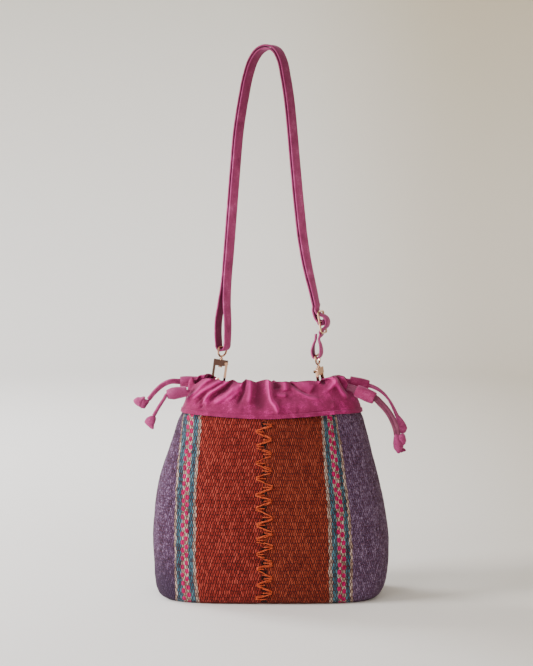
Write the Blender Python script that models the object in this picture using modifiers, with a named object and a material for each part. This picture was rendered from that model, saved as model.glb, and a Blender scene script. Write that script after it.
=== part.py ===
"""A hand-woven drawstring shoulder bag, as it stands with its strap held up.

Two wool panels make a soft pouch with a rounded base. A gathered suede band closes the mouth,
four drawstring ends hang from it, and a suede strap is clipped to two rings inside the mouth.
+Z is up, -Y is the front, and the origin is on the floor under the middle of the pouch.
Tables are in millimetres and degrees. Everything else is in metres.
"""

import math

import bmesh
import bpy
import numpy as np
from mathutils import Matrix, Vector

MM = 0.001
CLEARANCE = 0.3
SEAM_GAP = 0.4

# Wool pouch
CLOTH_THICKNESS = 2.5
SEAM_X = -7.5
PANEL_COLUMNS = 26
# z, reach to the left, right, front and back, and squareness of the outline at that height
POUCH = (
    (0, 103, 101, 47, 47, 3.2),
    (3, 115, 113, 54, 54, 3.2),
    (9, 122, 121, 59, 59, 3.1),
    (18, 126.5, 126.5, 62, 62, 3.0),
    (34, 129.5, 130, 64.5, 64.5, 2.9),
    (58, 131, 131, 65.5, 65.5, 2.8),
    (90, 130, 128, 65, 65, 2.7),
    (122, 125.5, 121.5, 62.5, 62, 2.6),
    (150, 118, 114.5, 59, 58, 2.5),
    (177, 107.5, 107.5, 54.5, 54, 2.4),
    (202, 96.6, 98.0, 49.8, 49, 2.3),
    (208.5, 94.6, 96.2, 47.8, 47, 2.3),
)
BASE_RINGS = (0.7, 0.35)
# Soft dents and swells of the front: x, z, half width, half height, depth (out is plus)
DENTS = (
    (-60, 120, 22, 60, 1.6),
    (62, 60, 24, 45, 1.4),
    (-7, 60, 16, 70, -1.4),
    (40, 175, 20, 25, -1.2),
)

# Suede band
BAND_THICKNESS = 1.8
BAND_COLUMNS = 132
# share of the way up, z, reach to the left, right, front and back, squareness
BAND = (
    (0.00, 201.5, 99.5, 101.0, 52.6, 52.0, 2.3),
    (0.16, 208.5, 98.0, 99.6, 50.8, 50.0, 2.3),
    (0.36, 216.5, 95.2, 97.0, 45.0, 44.5, 2.3),
    (0.56, 224.5, 93.2, 92.0, 36.0, 34.0, 2.3),
    (0.78, 232.5, 91.6, 87.5, 27.0, 25.0, 2.4),
    (0.92, 237.5, 90.2, 84.5, 21.0, 20.0, 2.5),
    (1.00, 239.5, 88.0, 82.0, 18.0, 18.0, 2.5),
)
# Height of the top edge over its plain height, along the front: x, rise
TOP_EDGE = (
    (-92, 1.0), (-76, 3.0), (-58, 0.5), (-42, -0.5), (-33, -2.6), (-28, 0.6), (-17, -1.4),
    (-5, 1.4), (3, -2.2), (16, -0.4), (32, -0.2), (51, -0.6), (60, 2.2), (72, 3.8), (84, 0.0),
)
# Pleats of the front: x and z where one starts, x where it meets the top edge, height, half width
PLEATS = (
    (-93, 213, -72, 2.2, 4.2),
    (-84, 209, -61, 2.6, 4.0),
    (-73, 209, -52, 2.6, 3.8),
    (-64, 213, -44, 2.4, 3.6),
    (-51, 216, -36, 2.6, 3.6),
    (-38, 218, -27, 2.4, 3.6),
    (-22, 216, -17, 2.0, 4.4),
    (9, 204, -5, 4.2, 3.8),
    (14, 217, 4, -2.8, 4.2),
    (34, 217, 18, 1.8, 5.0),
    (52, 219, 30, 2.4, 3.8),
    (60, 219, 41, -2.0, 4.0),
    (72, 220, 53, 1.8, 4.4),
    (84, 218, 64, 2.6, 4.0),
    (93, 214, 75, 2.4, 4.0),
)

# Drawstring ends: four tails, each through a sleeve to its knot
TAIL_DIAMETER = 5.0
SLEEVE_LENGTH = 22
SLEEVE_RADIUS = 6.0
SLEEVE_BORE = 3.4
KNOT_SIZE = (15, 12, 12)
TAIL_STEP = 6.0
# Each route runs from the band to the knot. Its second point is where the sleeve starts.
TAILS = {
    "front_left": (
        (-89.5, -14.4, 228.2), (-92.6, -15.0, 227.8), (-113.5, -18.5, 225.0),
        (-118.8, -19.5, 221.0), (-123.4, -20.2, 213.8), (-127.6, -20.7, 206.0), (-131.0, -21.0, 198.0),
    ),
    "back_left": (
        (-75.2, 21.6, 233.8), (-79.8, 23.4, 234.2), (-101.5, 21.0, 234.6), (-111.0, 20.0, 234.0),
        (-120.0, 19.2, 230.0), (-128.5, 18.6, 223.5), (-136.5, 18.0, 215.2),
    ),
    "front_right": (
        (83.6, -17.3, 232.9), (91.5, -19.2, 230.6), (112.6, -24.5, 222.0), (120.0, -26.0, 215.5),
        (127.5, -27.5, 207.0), (133.0, -28.5, 197.5), (136.6, -29.2, 187.5), (138.0, -29.5, 179.3),
    ),
    "back_right": (
        (82.6, 14.5, 235.8), (88.5, 14.5, 235.2), (110.0, 14.0, 230.6), (118.5, 13.8, 227.2),
        (126.0, 13.6, 221.6), (132.5, 13.4, 213.5), (138.0, 13.2, 203.0), (142.6, 13.0, 192.6),
    ),
}

# Strap: two layers that part at the hooks, told by the line midway between them
STRAP_WIDTH = 14.5
STRAP_THICKNESS = 2.6
STRAP_STEP = 9.0
TIGHT_STEP = 2.5
STRAP_TOP = (-3.0, 603.5)
STRAP_SWING = (330, 560)
# x, z, turn of the ribbon about Z, half of the spacing of the two layers
STRAP_MIDLINE = (
    (-53.2, 278.0, 28, 5.4),
    (-53.2, 290.0, 29, 6.2),
    (-52.9, 304.0, 30, 6.0),
    (-51.8, 322.0, 32, 3.8),
    (-49.8, 343.0, 34, 1.9),
    (-46.5, 382.4, 35, 1.6),
    (-43.3, 425.2, 35, 1.6),
    (-40.1, 466.7, 35, 1.6),
    (-35.4, 518.0, 35, 1.6),
    (-30.2, 550.0, 35, 1.6),
    (-24.9, 575.0, 35, 1.6),
    (-19.4, 590.5, 35, 1.6),
    (-12.0, 600.3, 35, 1.6),
    (-3.0, 603.5, 35, 1.6),
    (6.0, 599.6, 35, 1.6),
    (11.8, 588.6, 35, 1.6),
    (15.6, 571.0, 35, 1.6),
    (19.6, 545.0, 35, 1.6),
    (22.8, 513.5, 35, 1.6),
    (26.3, 474.0, 35, 1.6),
    (30.2, 434.0, 35, 1.6),
    (35.0, 393.0, 34, 1.6),
    (40.5, 362.0, 30, 1.6),
    (46.0, 338.5, 24, 1.6),
    (49.6, 321.5, 20, 1.6),
)
SLIDER_HEIGHT_Z = 303.0
SLIDER_X = 56.4
SLIDER_TURN = 20
# Both layers at the slider, from above: out from the slider's plane, up from its middle bar
OUTER_AT_SLIDER = (
    (-3.4, 13), (-2.6, 10), (-0.2, 8), (2.9, 6.6), (5.3, 4.2), (6.4, 0),
    (5.3, -4.2), (2.9, -6.6), (-0.2, -8), (-2.6, -10), (-3.2, -13),
)
INNER_AT_SLIDER = ((-6.5, 13), (-6.2, 8), (-4.8, 3.4))
INNER_WRAP_RADIUS = 2.95
INNER_WRAP = (170, 205, 240, 275, 310, 345, 380, 410)
# The loop under the slider that holds the right hook: x, z, turn
LOOP_AT_RIGHT_HOOK = (
    (53.0, 284.5, 6), (54.8, 277.0, 10), (55.4, 270.5, 15), (55.0, 267.0, 15), (53.4, 264.1, 15),
    (50.8, 262.9, 15), (48.2, 264.1, 15), (46.6, 267.0, 15), (46.1, 270.5, 15), (46.9, 277.0, 10),
    (49.3, 284.0, 6), (49.5, 289.5, 6),
)

# Slider and hooks
WIRE_RADIUS = 1.2
SLIDER_HALF_WIDTH = 9.0
SLIDER_HALF_HEIGHT = 12.0
EYE_HALF_WIDTH = 9.3
EYE_DEPTH = 10.2
SWIVEL_DROP = 13.8
HOOK_WIDTH = 16.0
HOOK_HEIGHT = 26.0
HOOK_BAR = 7.0
HOOK_BAR_THICKNESS = 4.2
HOOK_WIRE = 2.8
GATE_PIVOT = (6.2, -4.0)
RING_IN_WINDOW = 21.6
# bar of the eye (x, z), turn of the strap there, lean of the hook, direction to its gate side
HOOKS = {
    "left": ((-53.2, 275.1), 28, 8, 0),
    "right": ((50.8, 266.3), 15, -8, -115),
}

# Rings inside the mouth and the tabs that hold them
RING_HALF_WIDTH = 7.5
RING_DEPTH = 12.5
TAB_WIDTH = 11.0
TAB_THICKNESS = 1.8
# side, slope of the ring, turn of the ring about Z, x and z of the tab's sewn end
RINGS = {
    "left": (-1, 30, 0, (-92.2, 213.0)),
    "right": (1, 12, -26, (92.6, 213.0)),
}

PURPLE = (0.16, 0.11, 0.21, 1)
RUST = (0.36, 0.08, 0.02, 1)
PINK = (0.55, 0.09, 0.25, 1)
GOLD = (0.83, 0.62, 0.33, 1)


def new_collection(name):
    made = bpy.data.collections.new(name)
    bpy.context.scene.collection.children.link(made)
    return made


def material(name, colour, roughness, metallic=0.0):
    made = bpy.data.materials.new(name)
    made.use_nodes = True
    shader = made.node_tree.nodes["Principled BSDF"]
    shader.inputs["Base Color"].default_value = colour
    shader.inputs["Roughness"].default_value = roughness
    shader.inputs["Metallic"].default_value = metallic
    return made


def smooth_line(points, step):
    """A smooth line through the points, with a sample about every step and two a stretch at least.

    The first three columns are a place, and any others follow it.
    """
    points = np.asarray(points, float)
    spans = np.linalg.norm(np.diff(points[:, :3], axis=0), axis=1)[:, None]
    slopes = np.diff(points, axis=0) / spans
    bends = (slopes[:-1] * spans[1:] + slopes[1:] * spans[:-1]) / (spans[:-1] + spans[1:])
    bends = np.vstack([slopes[:1], bends, slopes[-1:]])
    line = []
    for k, span in enumerate(spans[:, 0]):
        t = np.linspace(0, 1, max(2, round(span / step)), endpoint=False)[:, None]
        line.append(
            points[k] * (1 - t) ** 2 * (1 + 2 * t) + points[k + 1] * t**2 * (3 - 2 * t)
            + bends[k] * span * t * (1 - t) ** 2 - bends[k + 1] * span * t**2 * (1 - t)
        )
    return np.vstack(line + [points[-1:]])


def evenly_spaced(points, count):
    """The same line with its points at equal distances."""
    steps = np.linalg.norm(np.diff(points, axis=0), axis=1)
    along = np.concatenate([[0], np.cumsum(steps)])
    wanted = np.linspace(0, along[-1], count)
    return np.stack([np.interp(wanted, along, column) for column in points.T], 1)


def unit(vector):
    return vector / np.linalg.norm(vector, axis=-1, keepdims=True)


def soft_step(value):
    value = np.clip(value, 0, 1)
    return value * value * (3 - 2 * value)


def outline(left, right, front, back, squareness, angles):
    """Points of a rounded oblong with its own reach on each side."""
    cosine, sine = np.cos(angles), np.sin(angles)
    across = np.where(cosine < 0, left, right)
    deep = np.where(sine < 0, front, back)
    x = across * np.sign(cosine) * np.abs(cosine) ** (2 / squareness)
    y = deep * np.sign(sine) * np.abs(sine) ** (2 / squareness)
    return np.stack([x, y], 1)


def grid_faces(rows, columns, closed=False):
    faces = []
    for row in range(rows - 1):
        for column in range(columns if closed else columns - 1):
            after = (column + 1) % columns
            faces.append((
                row * columns + column, row * columns + after,
                (row + 1) * columns + after, (row + 1) * columns + column,
            ))
    return faces


def add_object(name, mesh, surface, collection, sharp=40):
    made = bpy.data.objects.new(name, mesh)
    collection.objects.link(made)
    mesh.materials.clear()
    mesh.materials.append(surface)
    mesh.shade_smooth()
    mesh.set_sharp_from_angle(angle=math.radians(sharp))
    return made


def surface_object(name, points, faces, surface, collection):
    mesh = bpy.data.meshes.new(name)
    mesh.from_pydata([tuple(p) for p in np.asarray(points) * MM], [], faces)
    return add_object(name, mesh, surface, collection)


def thicken(thing, thickness, offset):
    shell = thing.modifiers.new("Thickness", "SOLIDIFY")
    shell.thickness = thickness * MM
    shell.offset = offset
    shell.use_even_offset = False


def dented(points):
    """The pouch's points, with its soft dents and swells on the front pressed in."""
    points = points.copy()
    front = points[:, 1] < 0
    for x, z, half_width, half_height, depth in DENTS:
        away = ((points[:, 0] - x) / half_width) ** 2 + ((points[:, 2] - z) / half_height) ** 2
        base_hold = soft_step(points[:, 2] / 20) * soft_step((200 - points[:, 2]) / 20)
        points[:, 1] -= depth * np.exp(-away) * base_hold * front
    return points


def panel_ring(level, side):
    """One half of the pouch's outline at a level, from the front seam round to the back seam."""
    z, left, right, front, back, squareness = level
    edge = SEAM_X + side * SEAM_GAP / 2
    share = abs(edge) / (left if edge < 0 else right)
    seam = math.asin(share ** (squareness / 2)) * np.sign(edge)
    if side < 0:
        angles = np.linspace(-math.pi / 2 + seam, -3 * math.pi / 2 - seam, 361)
    else:
        angles = np.linspace(-math.pi / 2 + seam, math.pi / 2 - seam, 361)
    flat = evenly_spaced(outline(left, right, front, back, squareness, angles), PANEL_COLUMNS)
    flat[[0, -1], 0] = edge
    return np.column_stack([flat, np.full(len(flat), float(z))])


def wool_panel(name, side, surface, collection):
    """One loom width: front, side, back and its half of the base, open at the mouth."""
    rings = [panel_ring(level, side) for level in POUCH]
    hub = np.array([SEAM_X + side * SEAM_GAP / 2, 0.0, 0.0])
    base = [hub + (rings[0] - hub) * share for share in reversed(BASE_RINGS)]
    points = dented(np.vstack(base + rings))
    faces = grid_faces(len(base) + len(rings), PANEL_COLUMNS)
    faces = [face if side > 0 else face[::-1] for face in faces]
    hub_index = len(points)
    for column in range(PANEL_COLUMNS - 1):
        fan = (hub_index, column + 1, column)
        faces.append(fan if side > 0 else fan[::-1])
    panel = surface_object(name, np.vstack([points, hub]), faces, surface, collection)
    thicken(panel, CLOTH_THICKNESS, -1)
    return panel


def pleat_height(x, share, z):
    """How far the band stands out at a place on the front, from all its pleats."""
    lift = np.zeros_like(x)
    for start_x, start_z, end_x, height, half_width in PLEATS:
        climb = np.clip((z - start_z) / (BAND[-1][1] - start_z), 0, 1)
        centre = start_x + (end_x - start_x) * climb
        lift += height * soft_step(climb * 1.6) * np.exp(-(((x - centre) / half_width) ** 2))
    return lift * soft_step(share * 3)


def band_ring(share, front_angles):
    """The band's outline at a share of its height, with its pleats and uneven top edge."""
    columns = np.array(BAND)
    z, left, right, front, back, squareness = (
        np.interp(share, columns[:, 0], columns[:, k]) for k in range(1, 7)
    )
    flat = outline(left, right, front, back, squareness, front_angles)
    flat = evenly_spaced(np.vstack([flat, flat[:1]]), BAND_COLUMNS + 1)[:-1]
    outward = unit(np.column_stack([
        np.roll(flat[:, 1], -1) - np.roll(flat[:, 1], 1),
        np.roll(flat[:, 0], 1) - np.roll(flat[:, 0], -1),
    ]))
    along = np.where(flat[:, 1] < 0, flat[:, 0], -flat[:, 0])
    near_face = soft_step(1.6 * np.abs(flat[:, 1]) / max(front, 1))
    heights = np.full(BAND_COLUMNS, z)
    lift = pleat_height(along, share, heights) * near_face
    flat = flat + outward * lift[:, None]
    rise = np.interp(along, *np.array(TOP_EDGE, float).T)
    heights = heights + rise * soft_step((share - 0.4) / 0.6)
    return np.column_stack([flat, heights])


def suede_band(surface, collection):
    """The gathered band: a ring of suede with pleats that run up to its edge."""
    angles = np.linspace(-math.pi / 2, 3 * math.pi / 2, 721)[:-1]
    shares = (0.0, 0.16, 0.36, 0.56, 0.74, 0.88, 1.0)
    rings = [band_ring(share, angles) for share in shares]
    faces = grid_faces(len(rings), BAND_COLUMNS, closed=True)
    band = surface_object("band", np.vstack(rings), faces, surface, collection)
    thicken(band, BAND_THICKNESS, -1)
    return band


def curve_object(name, points, radius, surface, collection, closed=False, resolution=2):
    """A round wire or cord along the points."""
    curve = bpy.data.curves.new(name, "CURVE")
    curve.dimensions = "3D"
    curve.bevel_depth = radius * MM
    curve.bevel_resolution = resolution
    curve.use_fill_caps = True
    spline = curve.splines.new("POLY")
    spline.points.add(len(points) - 1)
    for spot, place in zip(spline.points, points):
        spot.co = (*(np.asarray(place) * MM), 1)
    spline.use_cyclic_u = closed
    curve.materials.append(surface)
    made = bpy.data.objects.new(name, curve)
    collection.objects.link(made)
    return made


def as_mesh(thing, surface, collection):
    """A curve object turned into a mesh object with welded caps."""
    mesh = bpy.data.meshes.new_from_object(thing.evaluated_get(bpy.context.evaluated_depsgraph_get()))
    work = bmesh.new()
    work.from_mesh(mesh)
    bmesh.ops.remove_doubles(work, verts=work.verts, dist=0.00001)
    work.to_mesh(mesh)
    work.free()
    name, curve = thing.name, thing.data
    bpy.data.objects.remove(thing)
    bpy.data.curves.remove(curve)
    return add_object(name, mesh, surface, collection)


def tail_line(route):
    """The cord's middle line, straight inside its sleeve."""
    start, end = np.array(route[1], float), np.array(route[2], float)
    inside = [start + (end - start) * share for share in (0, 0.12, 0.5, 0.9, 1.04)]
    line = smooth_line([route[0], *inside, *route[3:]], TAIL_STEP / 4)
    length = np.linalg.norm(np.diff(line, axis=0), axis=1).sum()
    return evenly_spaced(line, round(length / TAIL_STEP) + 1)


def turned_sleeve(name, start, end, surface, collection):
    """A short suede tube round the cord, a little fuller in its middle."""
    along = np.asarray(end, float) - np.asarray(start, float)
    along = along / np.linalg.norm(along) * SLEEVE_LENGTH
    outer = ((0, 0.9), (0.12, 1.0), (0.5, 1.05), (0.88, 1.0), (1, 0.9))
    profile = [(SLEEVE_BORE, 0, SLEEVE_LENGTH)]
    profile += [(SLEEVE_RADIUS * wide, 0, SLEEVE_LENGTH * (1 - share)) for share, wide in outer]
    profile += [(SLEEVE_BORE, 0, 0)]
    edges = [(k, (k + 1) % len(profile)) for k in range(len(profile))]
    mesh = bpy.data.meshes.new(name)
    mesh.from_pydata([tuple(np.array(p) * MM) for p in profile], edges, [])
    sleeve = bpy.data.objects.new(name, mesh)
    collection.objects.link(sleeve)
    mesh.materials.append(surface)
    turn = sleeve.modifiers.new("Turn", "SCREW")
    turn.steps = 16
    turn.render_steps = 16
    turn.use_merge_vertices = True
    turn.merge_threshold = 0.00001
    sleeve.location = Vector(start) * MM
    sleeve.rotation_euler = Vector(along).to_track_quat("Z", "Y").to_euler()
    return sleeve


def knot(name, end, direction, surface, collection):
    """The overhand knot at the end of a tail, as a lumpy bead with a blunt tip."""
    mesh = bpy.data.meshes.new(name)
    work = bmesh.new()
    bmesh.ops.create_uvsphere(work, u_segments=14, v_segments=9, radius=0.5)
    for vertex in work.verts:
        waist = 1 - 0.16 * math.exp(-(((vertex.co.z + 0.12) / 0.12) ** 2))
        tip = 1 - 0.25 * max(0.0, -vertex.co.z)
        vertex.co.x *= KNOT_SIZE[1] * MM * waist * tip
        vertex.co.y *= KNOT_SIZE[2] * MM * waist * tip
        vertex.co.z *= KNOT_SIZE[0] * MM
    work.to_mesh(mesh)
    work.free()
    bead = add_object(name, mesh, surface, collection)
    direction = unit(np.asarray(direction, float))
    centre = np.asarray(end) + direction * (KNOT_SIZE[0] / 2 + CLEARANCE)
    bead.location = Vector(centre) * MM
    bead.rotation_euler = Vector(-direction).to_track_quat("Z", "Y").to_euler()
    return bead


def drawstring_ends(surface, collection):
    for place, route in TAILS.items():
        line = tail_line(route)
        curve_object(f"drawstring_{place}", line, TAIL_DIAMETER / 2, surface, collection)
        turned_sleeve(f"sleeve_{place}", route[1], route[2], surface, collection)
        knot(f"knot_{place}", line[-1], line[-1] - line[-2], surface, collection)


def width_direction(turns):
    angles = np.radians(turns)
    return np.stack([np.sin(angles), np.cos(angles), np.zeros_like(angles)], 1)


def strap_frames(line, turns):
    """Direction along the ribbon, across its width and out of its face, at each point."""
    along = unit(np.gradient(line, axis=0))
    across = width_direction(turns)
    across = unit(across - along * np.sum(across * along, axis=1, keepdims=True))
    return along, across, np.cross(along, across)


def strap_midline():
    """The line midway between the two layers, with its turn and half spacing."""
    table = np.array(STRAP_MIDLINE, float)
    swing = soft_step((table[:, 1] - STRAP_SWING[0]) / (STRAP_SWING[1] - STRAP_SWING[0]))
    y = -np.tan(np.radians(table[:, 2])) * (table[:, 0] - STRAP_TOP[0]) * swing
    return smooth_line(np.column_stack([table[:, 0], y, table[:, 1:]]), STRAP_STEP)


def slider_axes():
    across = width_direction(np.array([SLIDER_TURN]))[0]
    lean = math.radians(10)
    out = np.array([across[1], -across[0], 0])
    up = np.array([0, 0, 1]) * math.cos(lean) - out * math.sin(lean)
    return unit(np.cross(across, up)), across, up


def at_slider(places):
    """Points near the slider, given as how far out and how far up from its middle bar."""
    out, _, up = slider_axes()
    centre = np.array([SLIDER_X, 0, SLIDER_HEIGHT_Z])
    return np.array([[*(centre + n * out + t * up), SLIDER_TURN] for n, t in places])


def strap_line():
    """The whole ribbon: right loop, slider, over the top, left hook and back to the slider."""
    middle = strap_midline()
    line, turns, half = middle[:, :3], middle[:, 3], middle[:, 4:]
    along, _, out = strap_frames(line, turns)
    outer = np.column_stack([line + out * half, turns])
    inner = np.column_stack([line - out * half, turns])
    fold = []
    for angle in np.radians(np.linspace(0, 180, 11))[1:-1]:
        reach = half[0] * (out[0] * math.cos(angle) - 1.15 * along[0] * math.sin(angle))
        fold.append([*(line[0] + reach), turns[0]])
    loop = np.array([[x, 0, z, turn] for x, z, turn in LOOP_AT_RIGHT_HOOK])[::-1]
    wrap = [
        (INNER_WRAP_RADIUS * math.cos(math.radians(a)), INNER_WRAP_RADIUS * math.sin(math.radians(a)))
        for a in INNER_WRAP
    ]
    start = smooth_line(np.vstack([loop, at_slider(OUTER_AT_SLIDER)[::-1], outer[-1:]]), TIGHT_STEP)
    end = smooth_line(np.vstack([inner[-1:], at_slider(INNER_AT_SLIDER + tuple(wrap))]), TIGHT_STEP)
    return np.vstack([start[:-1], outer[::-1], np.array(fold), inner, end[1:]])


def ribbon(name, line, turns, width, thickness, surface, collection):
    """A strip of suede whose face follows the line, thickened to both sides."""
    _, across, _ = strap_frames(line, turns)
    points = np.stack([line - across * width / 2, line + across * width / 2], 1).reshape(-1, 3)
    faces = grid_faces(len(line), 2)
    strip = surface_object(name, points, faces, surface, collection)
    thicken(strip, thickness, 0)
    return strip


def oriented(place, right, back, up):
    """A world matrix from a place in millimetres and three directions."""
    turned = Matrix(np.column_stack([right, back, up]).tolist()).to_4x4()
    return Matrix.Translation(Vector(place) * MM) @ turned


def box(name, x_range, y_range, z_range, surface, collection):
    work = bmesh.new()
    bmesh.ops.create_cube(work, size=1)
    spans = (x_range, y_range, z_range)
    for vertex in work.verts:
        vertex.co = [(lo + hi) / 2 * MM + c * (hi - lo) * MM for c, (lo, hi) in zip(vertex.co, spans)]
    mesh = bpy.data.meshes.new(name)
    work.to_mesh(mesh)
    work.free()
    return add_object(name, mesh, surface, collection)


def rod(name, place, radius, length, axis, surface, collection, sides=16):
    """A solid round bar with its middle at the place."""
    work = bmesh.new()
    bmesh.ops.create_cone(
        work, cap_ends=True, segments=sides, radius1=radius * MM, radius2=radius * MM,
        depth=length * MM,
    )
    mesh = bpy.data.meshes.new(name)
    work.to_mesh(mesh)
    work.free()
    made = add_object(name, mesh, surface, collection)
    turn = Vector((0, 0, 1)).rotation_difference(Vector(axis)).to_matrix().to_4x4()
    mesh.transform(Matrix.Translation(Vector(place) * MM) @ turn)
    return made


def combine(base, others, operation="UNION"):
    """Joins or cuts whole meshes and keeps the result as one plain mesh."""
    for other in others:
        step = base.modifiers.new(operation.title(), "BOOLEAN")
        step.operation = operation
        step.object = other
        step.solver = "EXACT"
    made = bpy.data.meshes.new_from_object(base.evaluated_get(bpy.context.evaluated_depsgraph_get()))
    base.modifiers.clear()
    base.data = made
    made.shade_smooth()
    made.set_sharp_from_angle(angle=math.radians(40))
    for other in others:
        bpy.data.objects.remove(other)
    return base


def slider(surface, collection):
    """A wire frame with a middle bar whose round ends stand out at both sides."""
    half_width, half_height, corner = SLIDER_HALF_WIDTH, SLIDER_HALF_HEIGHT, 2.0
    corners = (
        (half_width, half_height, 0), (-half_width, half_height, 90),
        (-half_width, -half_height, 180), (half_width, -half_height, 270),
    )
    points = []
    for x, z, start in corners:
        for angle in np.radians(np.linspace(start, start + 90, 4)):
            points.append((
                x - math.copysign(corner, x) + corner * math.cos(angle), 0,
                z - math.copysign(corner, z) + corner * math.sin(angle),
            ))
    frame = curve_object("slider", points, WIRE_RADIUS, surface, collection, closed=True)
    frame = as_mesh(frame, surface, collection)
    bar = rod("slider_bar", (0, 0, 0), WIRE_RADIUS * 0.97, 2 * half_width + 3.6, (1, 0, 0), surface,
              collection, sides=12)
    combine(frame, [bar])
    out, across, up = slider_axes()
    frame.matrix_world = oriented((SLIDER_X, 0, SLIDER_HEIGHT_Z), across, -out, up)
    return frame


def hook_axes(name):
    """Middle of the eye's bar, the swivel's axis, and the hook's own directions."""
    (x, z), turn, lean, gate_way = HOOKS[name]
    up = np.array([math.sin(math.radians(lean)), 0, math.cos(math.radians(lean))])
    side = np.array([math.cos(math.radians(gate_way)), math.sin(math.radians(gate_way)), 0])
    side = unit(side - up * side.dot(up))
    across = width_direction(np.array([turn]))[0]
    across = unit(across - up * across.dot(up))
    return np.array([x, 0, z]), up, side, across


def hook_top(name):
    bar, up, _, _ = hook_axes(name)
    return bar - up * SWIVEL_DROP


def swivel_eye(name, surface, collection):
    """The D-shaped eye with the stem that turns in the hook's top bar."""
    wide, deep = EYE_HALF_WIDTH, EYE_DEPTH
    half = ((0, 0), (0.42, 0), (0.84, 0), (0.98, -0.1), (1.0, -0.4), (0.88, -0.7), (0.46, -0.95))
    points = [(wide * u, 0, deep * v) for u, v in half]
    points += [(0, 0, -deep)]
    points += [(-wide * u, 0, deep * v) for u, v in reversed(half[1:])]
    eye = as_mesh(
        curve_object(f"eye_{name}", points, WIRE_RADIUS, surface, collection, closed=True),
        surface, collection,
    )
    stem_end = -SWIVEL_DROP - HOOK_BAR - CLEARANCE - 1.2
    stem = rod("stem", (0, 0, (-deep + stem_end) / 2), 1.1, -stem_end - deep, (0, 0, 1), surface, collection)
    collar = rod("collar", (0, 0, -SWIVEL_DROP + CLEARANCE + 0.7), 2.1, 1.4, (0, 0, 1), surface, collection)
    head = rod("head", (0, 0, stem_end + 0.6), 2.2, 1.2, (0, 0, 1), surface, collection)
    combine(eye, [stem, collar, head])
    bar, up, _, across = hook_axes(name)
    eye.matrix_world = oriented(bar, across, np.cross(up, across), up)
    return eye


def hook_frame(name, surface, collection):
    """The open frame of a hook: top bar with the swivel's hole, back leg, foot and nose."""
    half, wire, deep = HOOK_WIDTH / 2, HOOK_WIRE, HOOK_WIRE / 2
    bar_deep = HOOK_BAR_THICKNESS / 2
    foot = -HOOK_HEIGHT
    pivot_x, pivot_z = GATE_PIVOT
    frame = box(f"hook_{name}", (-half, 3.6), (-bar_deep, bar_deep), (-HOOK_BAR, 0), surface, collection)
    leg = box("leg", (-half, wire - half), (-deep, deep), (foot, -HOOK_BAR + 1), surface, collection)
    sole = box("sole", (-half + 1, half), (-deep, deep), (foot, foot + wire), surface, collection)
    nose = box("nose", (half - wire, half - 0.01), (-deep, deep), (foot + 1, foot + 6.2), surface, collection)
    cheek = box("cheek", (3.0, half), (1.3, bar_deep), (-HOOK_BAR, -0.3), surface, collection)
    pin = rod("pin", (pivot_x, 0.5, pivot_z), 0.65, 2.6, (0, 1, 0), surface, collection, sides=12)
    combine(frame, [leg, sole, nose, cheek, pin])
    hole = rod("hole", (0, 0, -HOOK_BAR / 2), 1.1 + CLEARANCE + 0.1, HOOK_BAR + 2, (0, 0, 1), surface,
               collection)
    combine(frame, [hole], "DIFFERENCE")
    _, up, side, _ = hook_axes(name)
    frame.matrix_world = oriented(hook_top(name), side, np.cross(up, side), up)
    return frame


def hook_gate(name, surface, collection):
    """The sprung gate: a bar with a round head on the pin and a thumb knob."""
    half, wire = HOOK_WIDTH / 2, HOOK_WIRE
    pivot_x, pivot_z = GATE_PIVOT
    tip = -HOOK_HEIGHT + 6.2 + CLEARANCE
    left, right = half - wire - pivot_x, half - pivot_x
    gate = box(f"gate_{name}", (left, right), (-1.3, 1.0), (tip - pivot_z, 0), surface, collection)
    head = rod("head", (0, -0.15, 0), 1.8, 2.3, (0, 1, 0), surface, collection)
    knob = rod("knob", (0.6, -2.2, 0.2), 1.7, 2.4, (0, 1, 0), surface, collection, sides=12)
    combine(gate, [head, knob])
    hole = rod("hole", (0, 0.6, 0), 0.95, 3.6, (0, 1, 0), surface, collection, sides=12)
    combine(gate, [hole], "DIFFERENCE")
    _, up, side, _ = hook_axes(name)
    pivot = hook_top(name) + side * pivot_x + up * pivot_z
    gate.matrix_world = oriented(pivot, side, np.cross(up, side), up)
    return gate


def ring_axes(name):
    """Middle of the ring's far wire, the way it points and the way its wire runs."""
    side, slope, turn, _ = RINGS[name]
    _, up, _, _ = hook_axes(name)
    tip = hook_top(name) - up * RING_IN_WINDOW
    across = np.array([math.sin(math.radians(turn)), math.cos(math.radians(turn)), 0])
    level = np.array([-across[1], across[0], 0]) * side
    point = unit(level * math.cos(math.radians(slope)) + np.array([0, 0, math.sin(math.radians(slope))]))
    return tip, point, across


def bag_ring(name, surface, collection):
    """The D ring that the hook holds, with its straight bar in the tab."""
    wide, deep = RING_HALF_WIDTH, RING_DEPTH
    half = ((0.36, 0), (0.72, -0.1), (0.95, -0.34), (1.0, -0.64), (0.98, -0.9), (0.84, -1.0), (0.4, -1.0))
    spots = [(u * wide, v * deep) for u, v in half] + [(0, -deep)]
    spots += [(-u * wide, v * deep) for u, v in reversed(half)] + [(0, 0)]
    tip, point, across = ring_axes(name)
    places = [tip + across * u + point * v for u, v in spots]
    ring = curve_object(f"ring_{name}", places, WIRE_RADIUS, surface, collection, closed=True)
    return as_mesh(ring, surface, collection)


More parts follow.
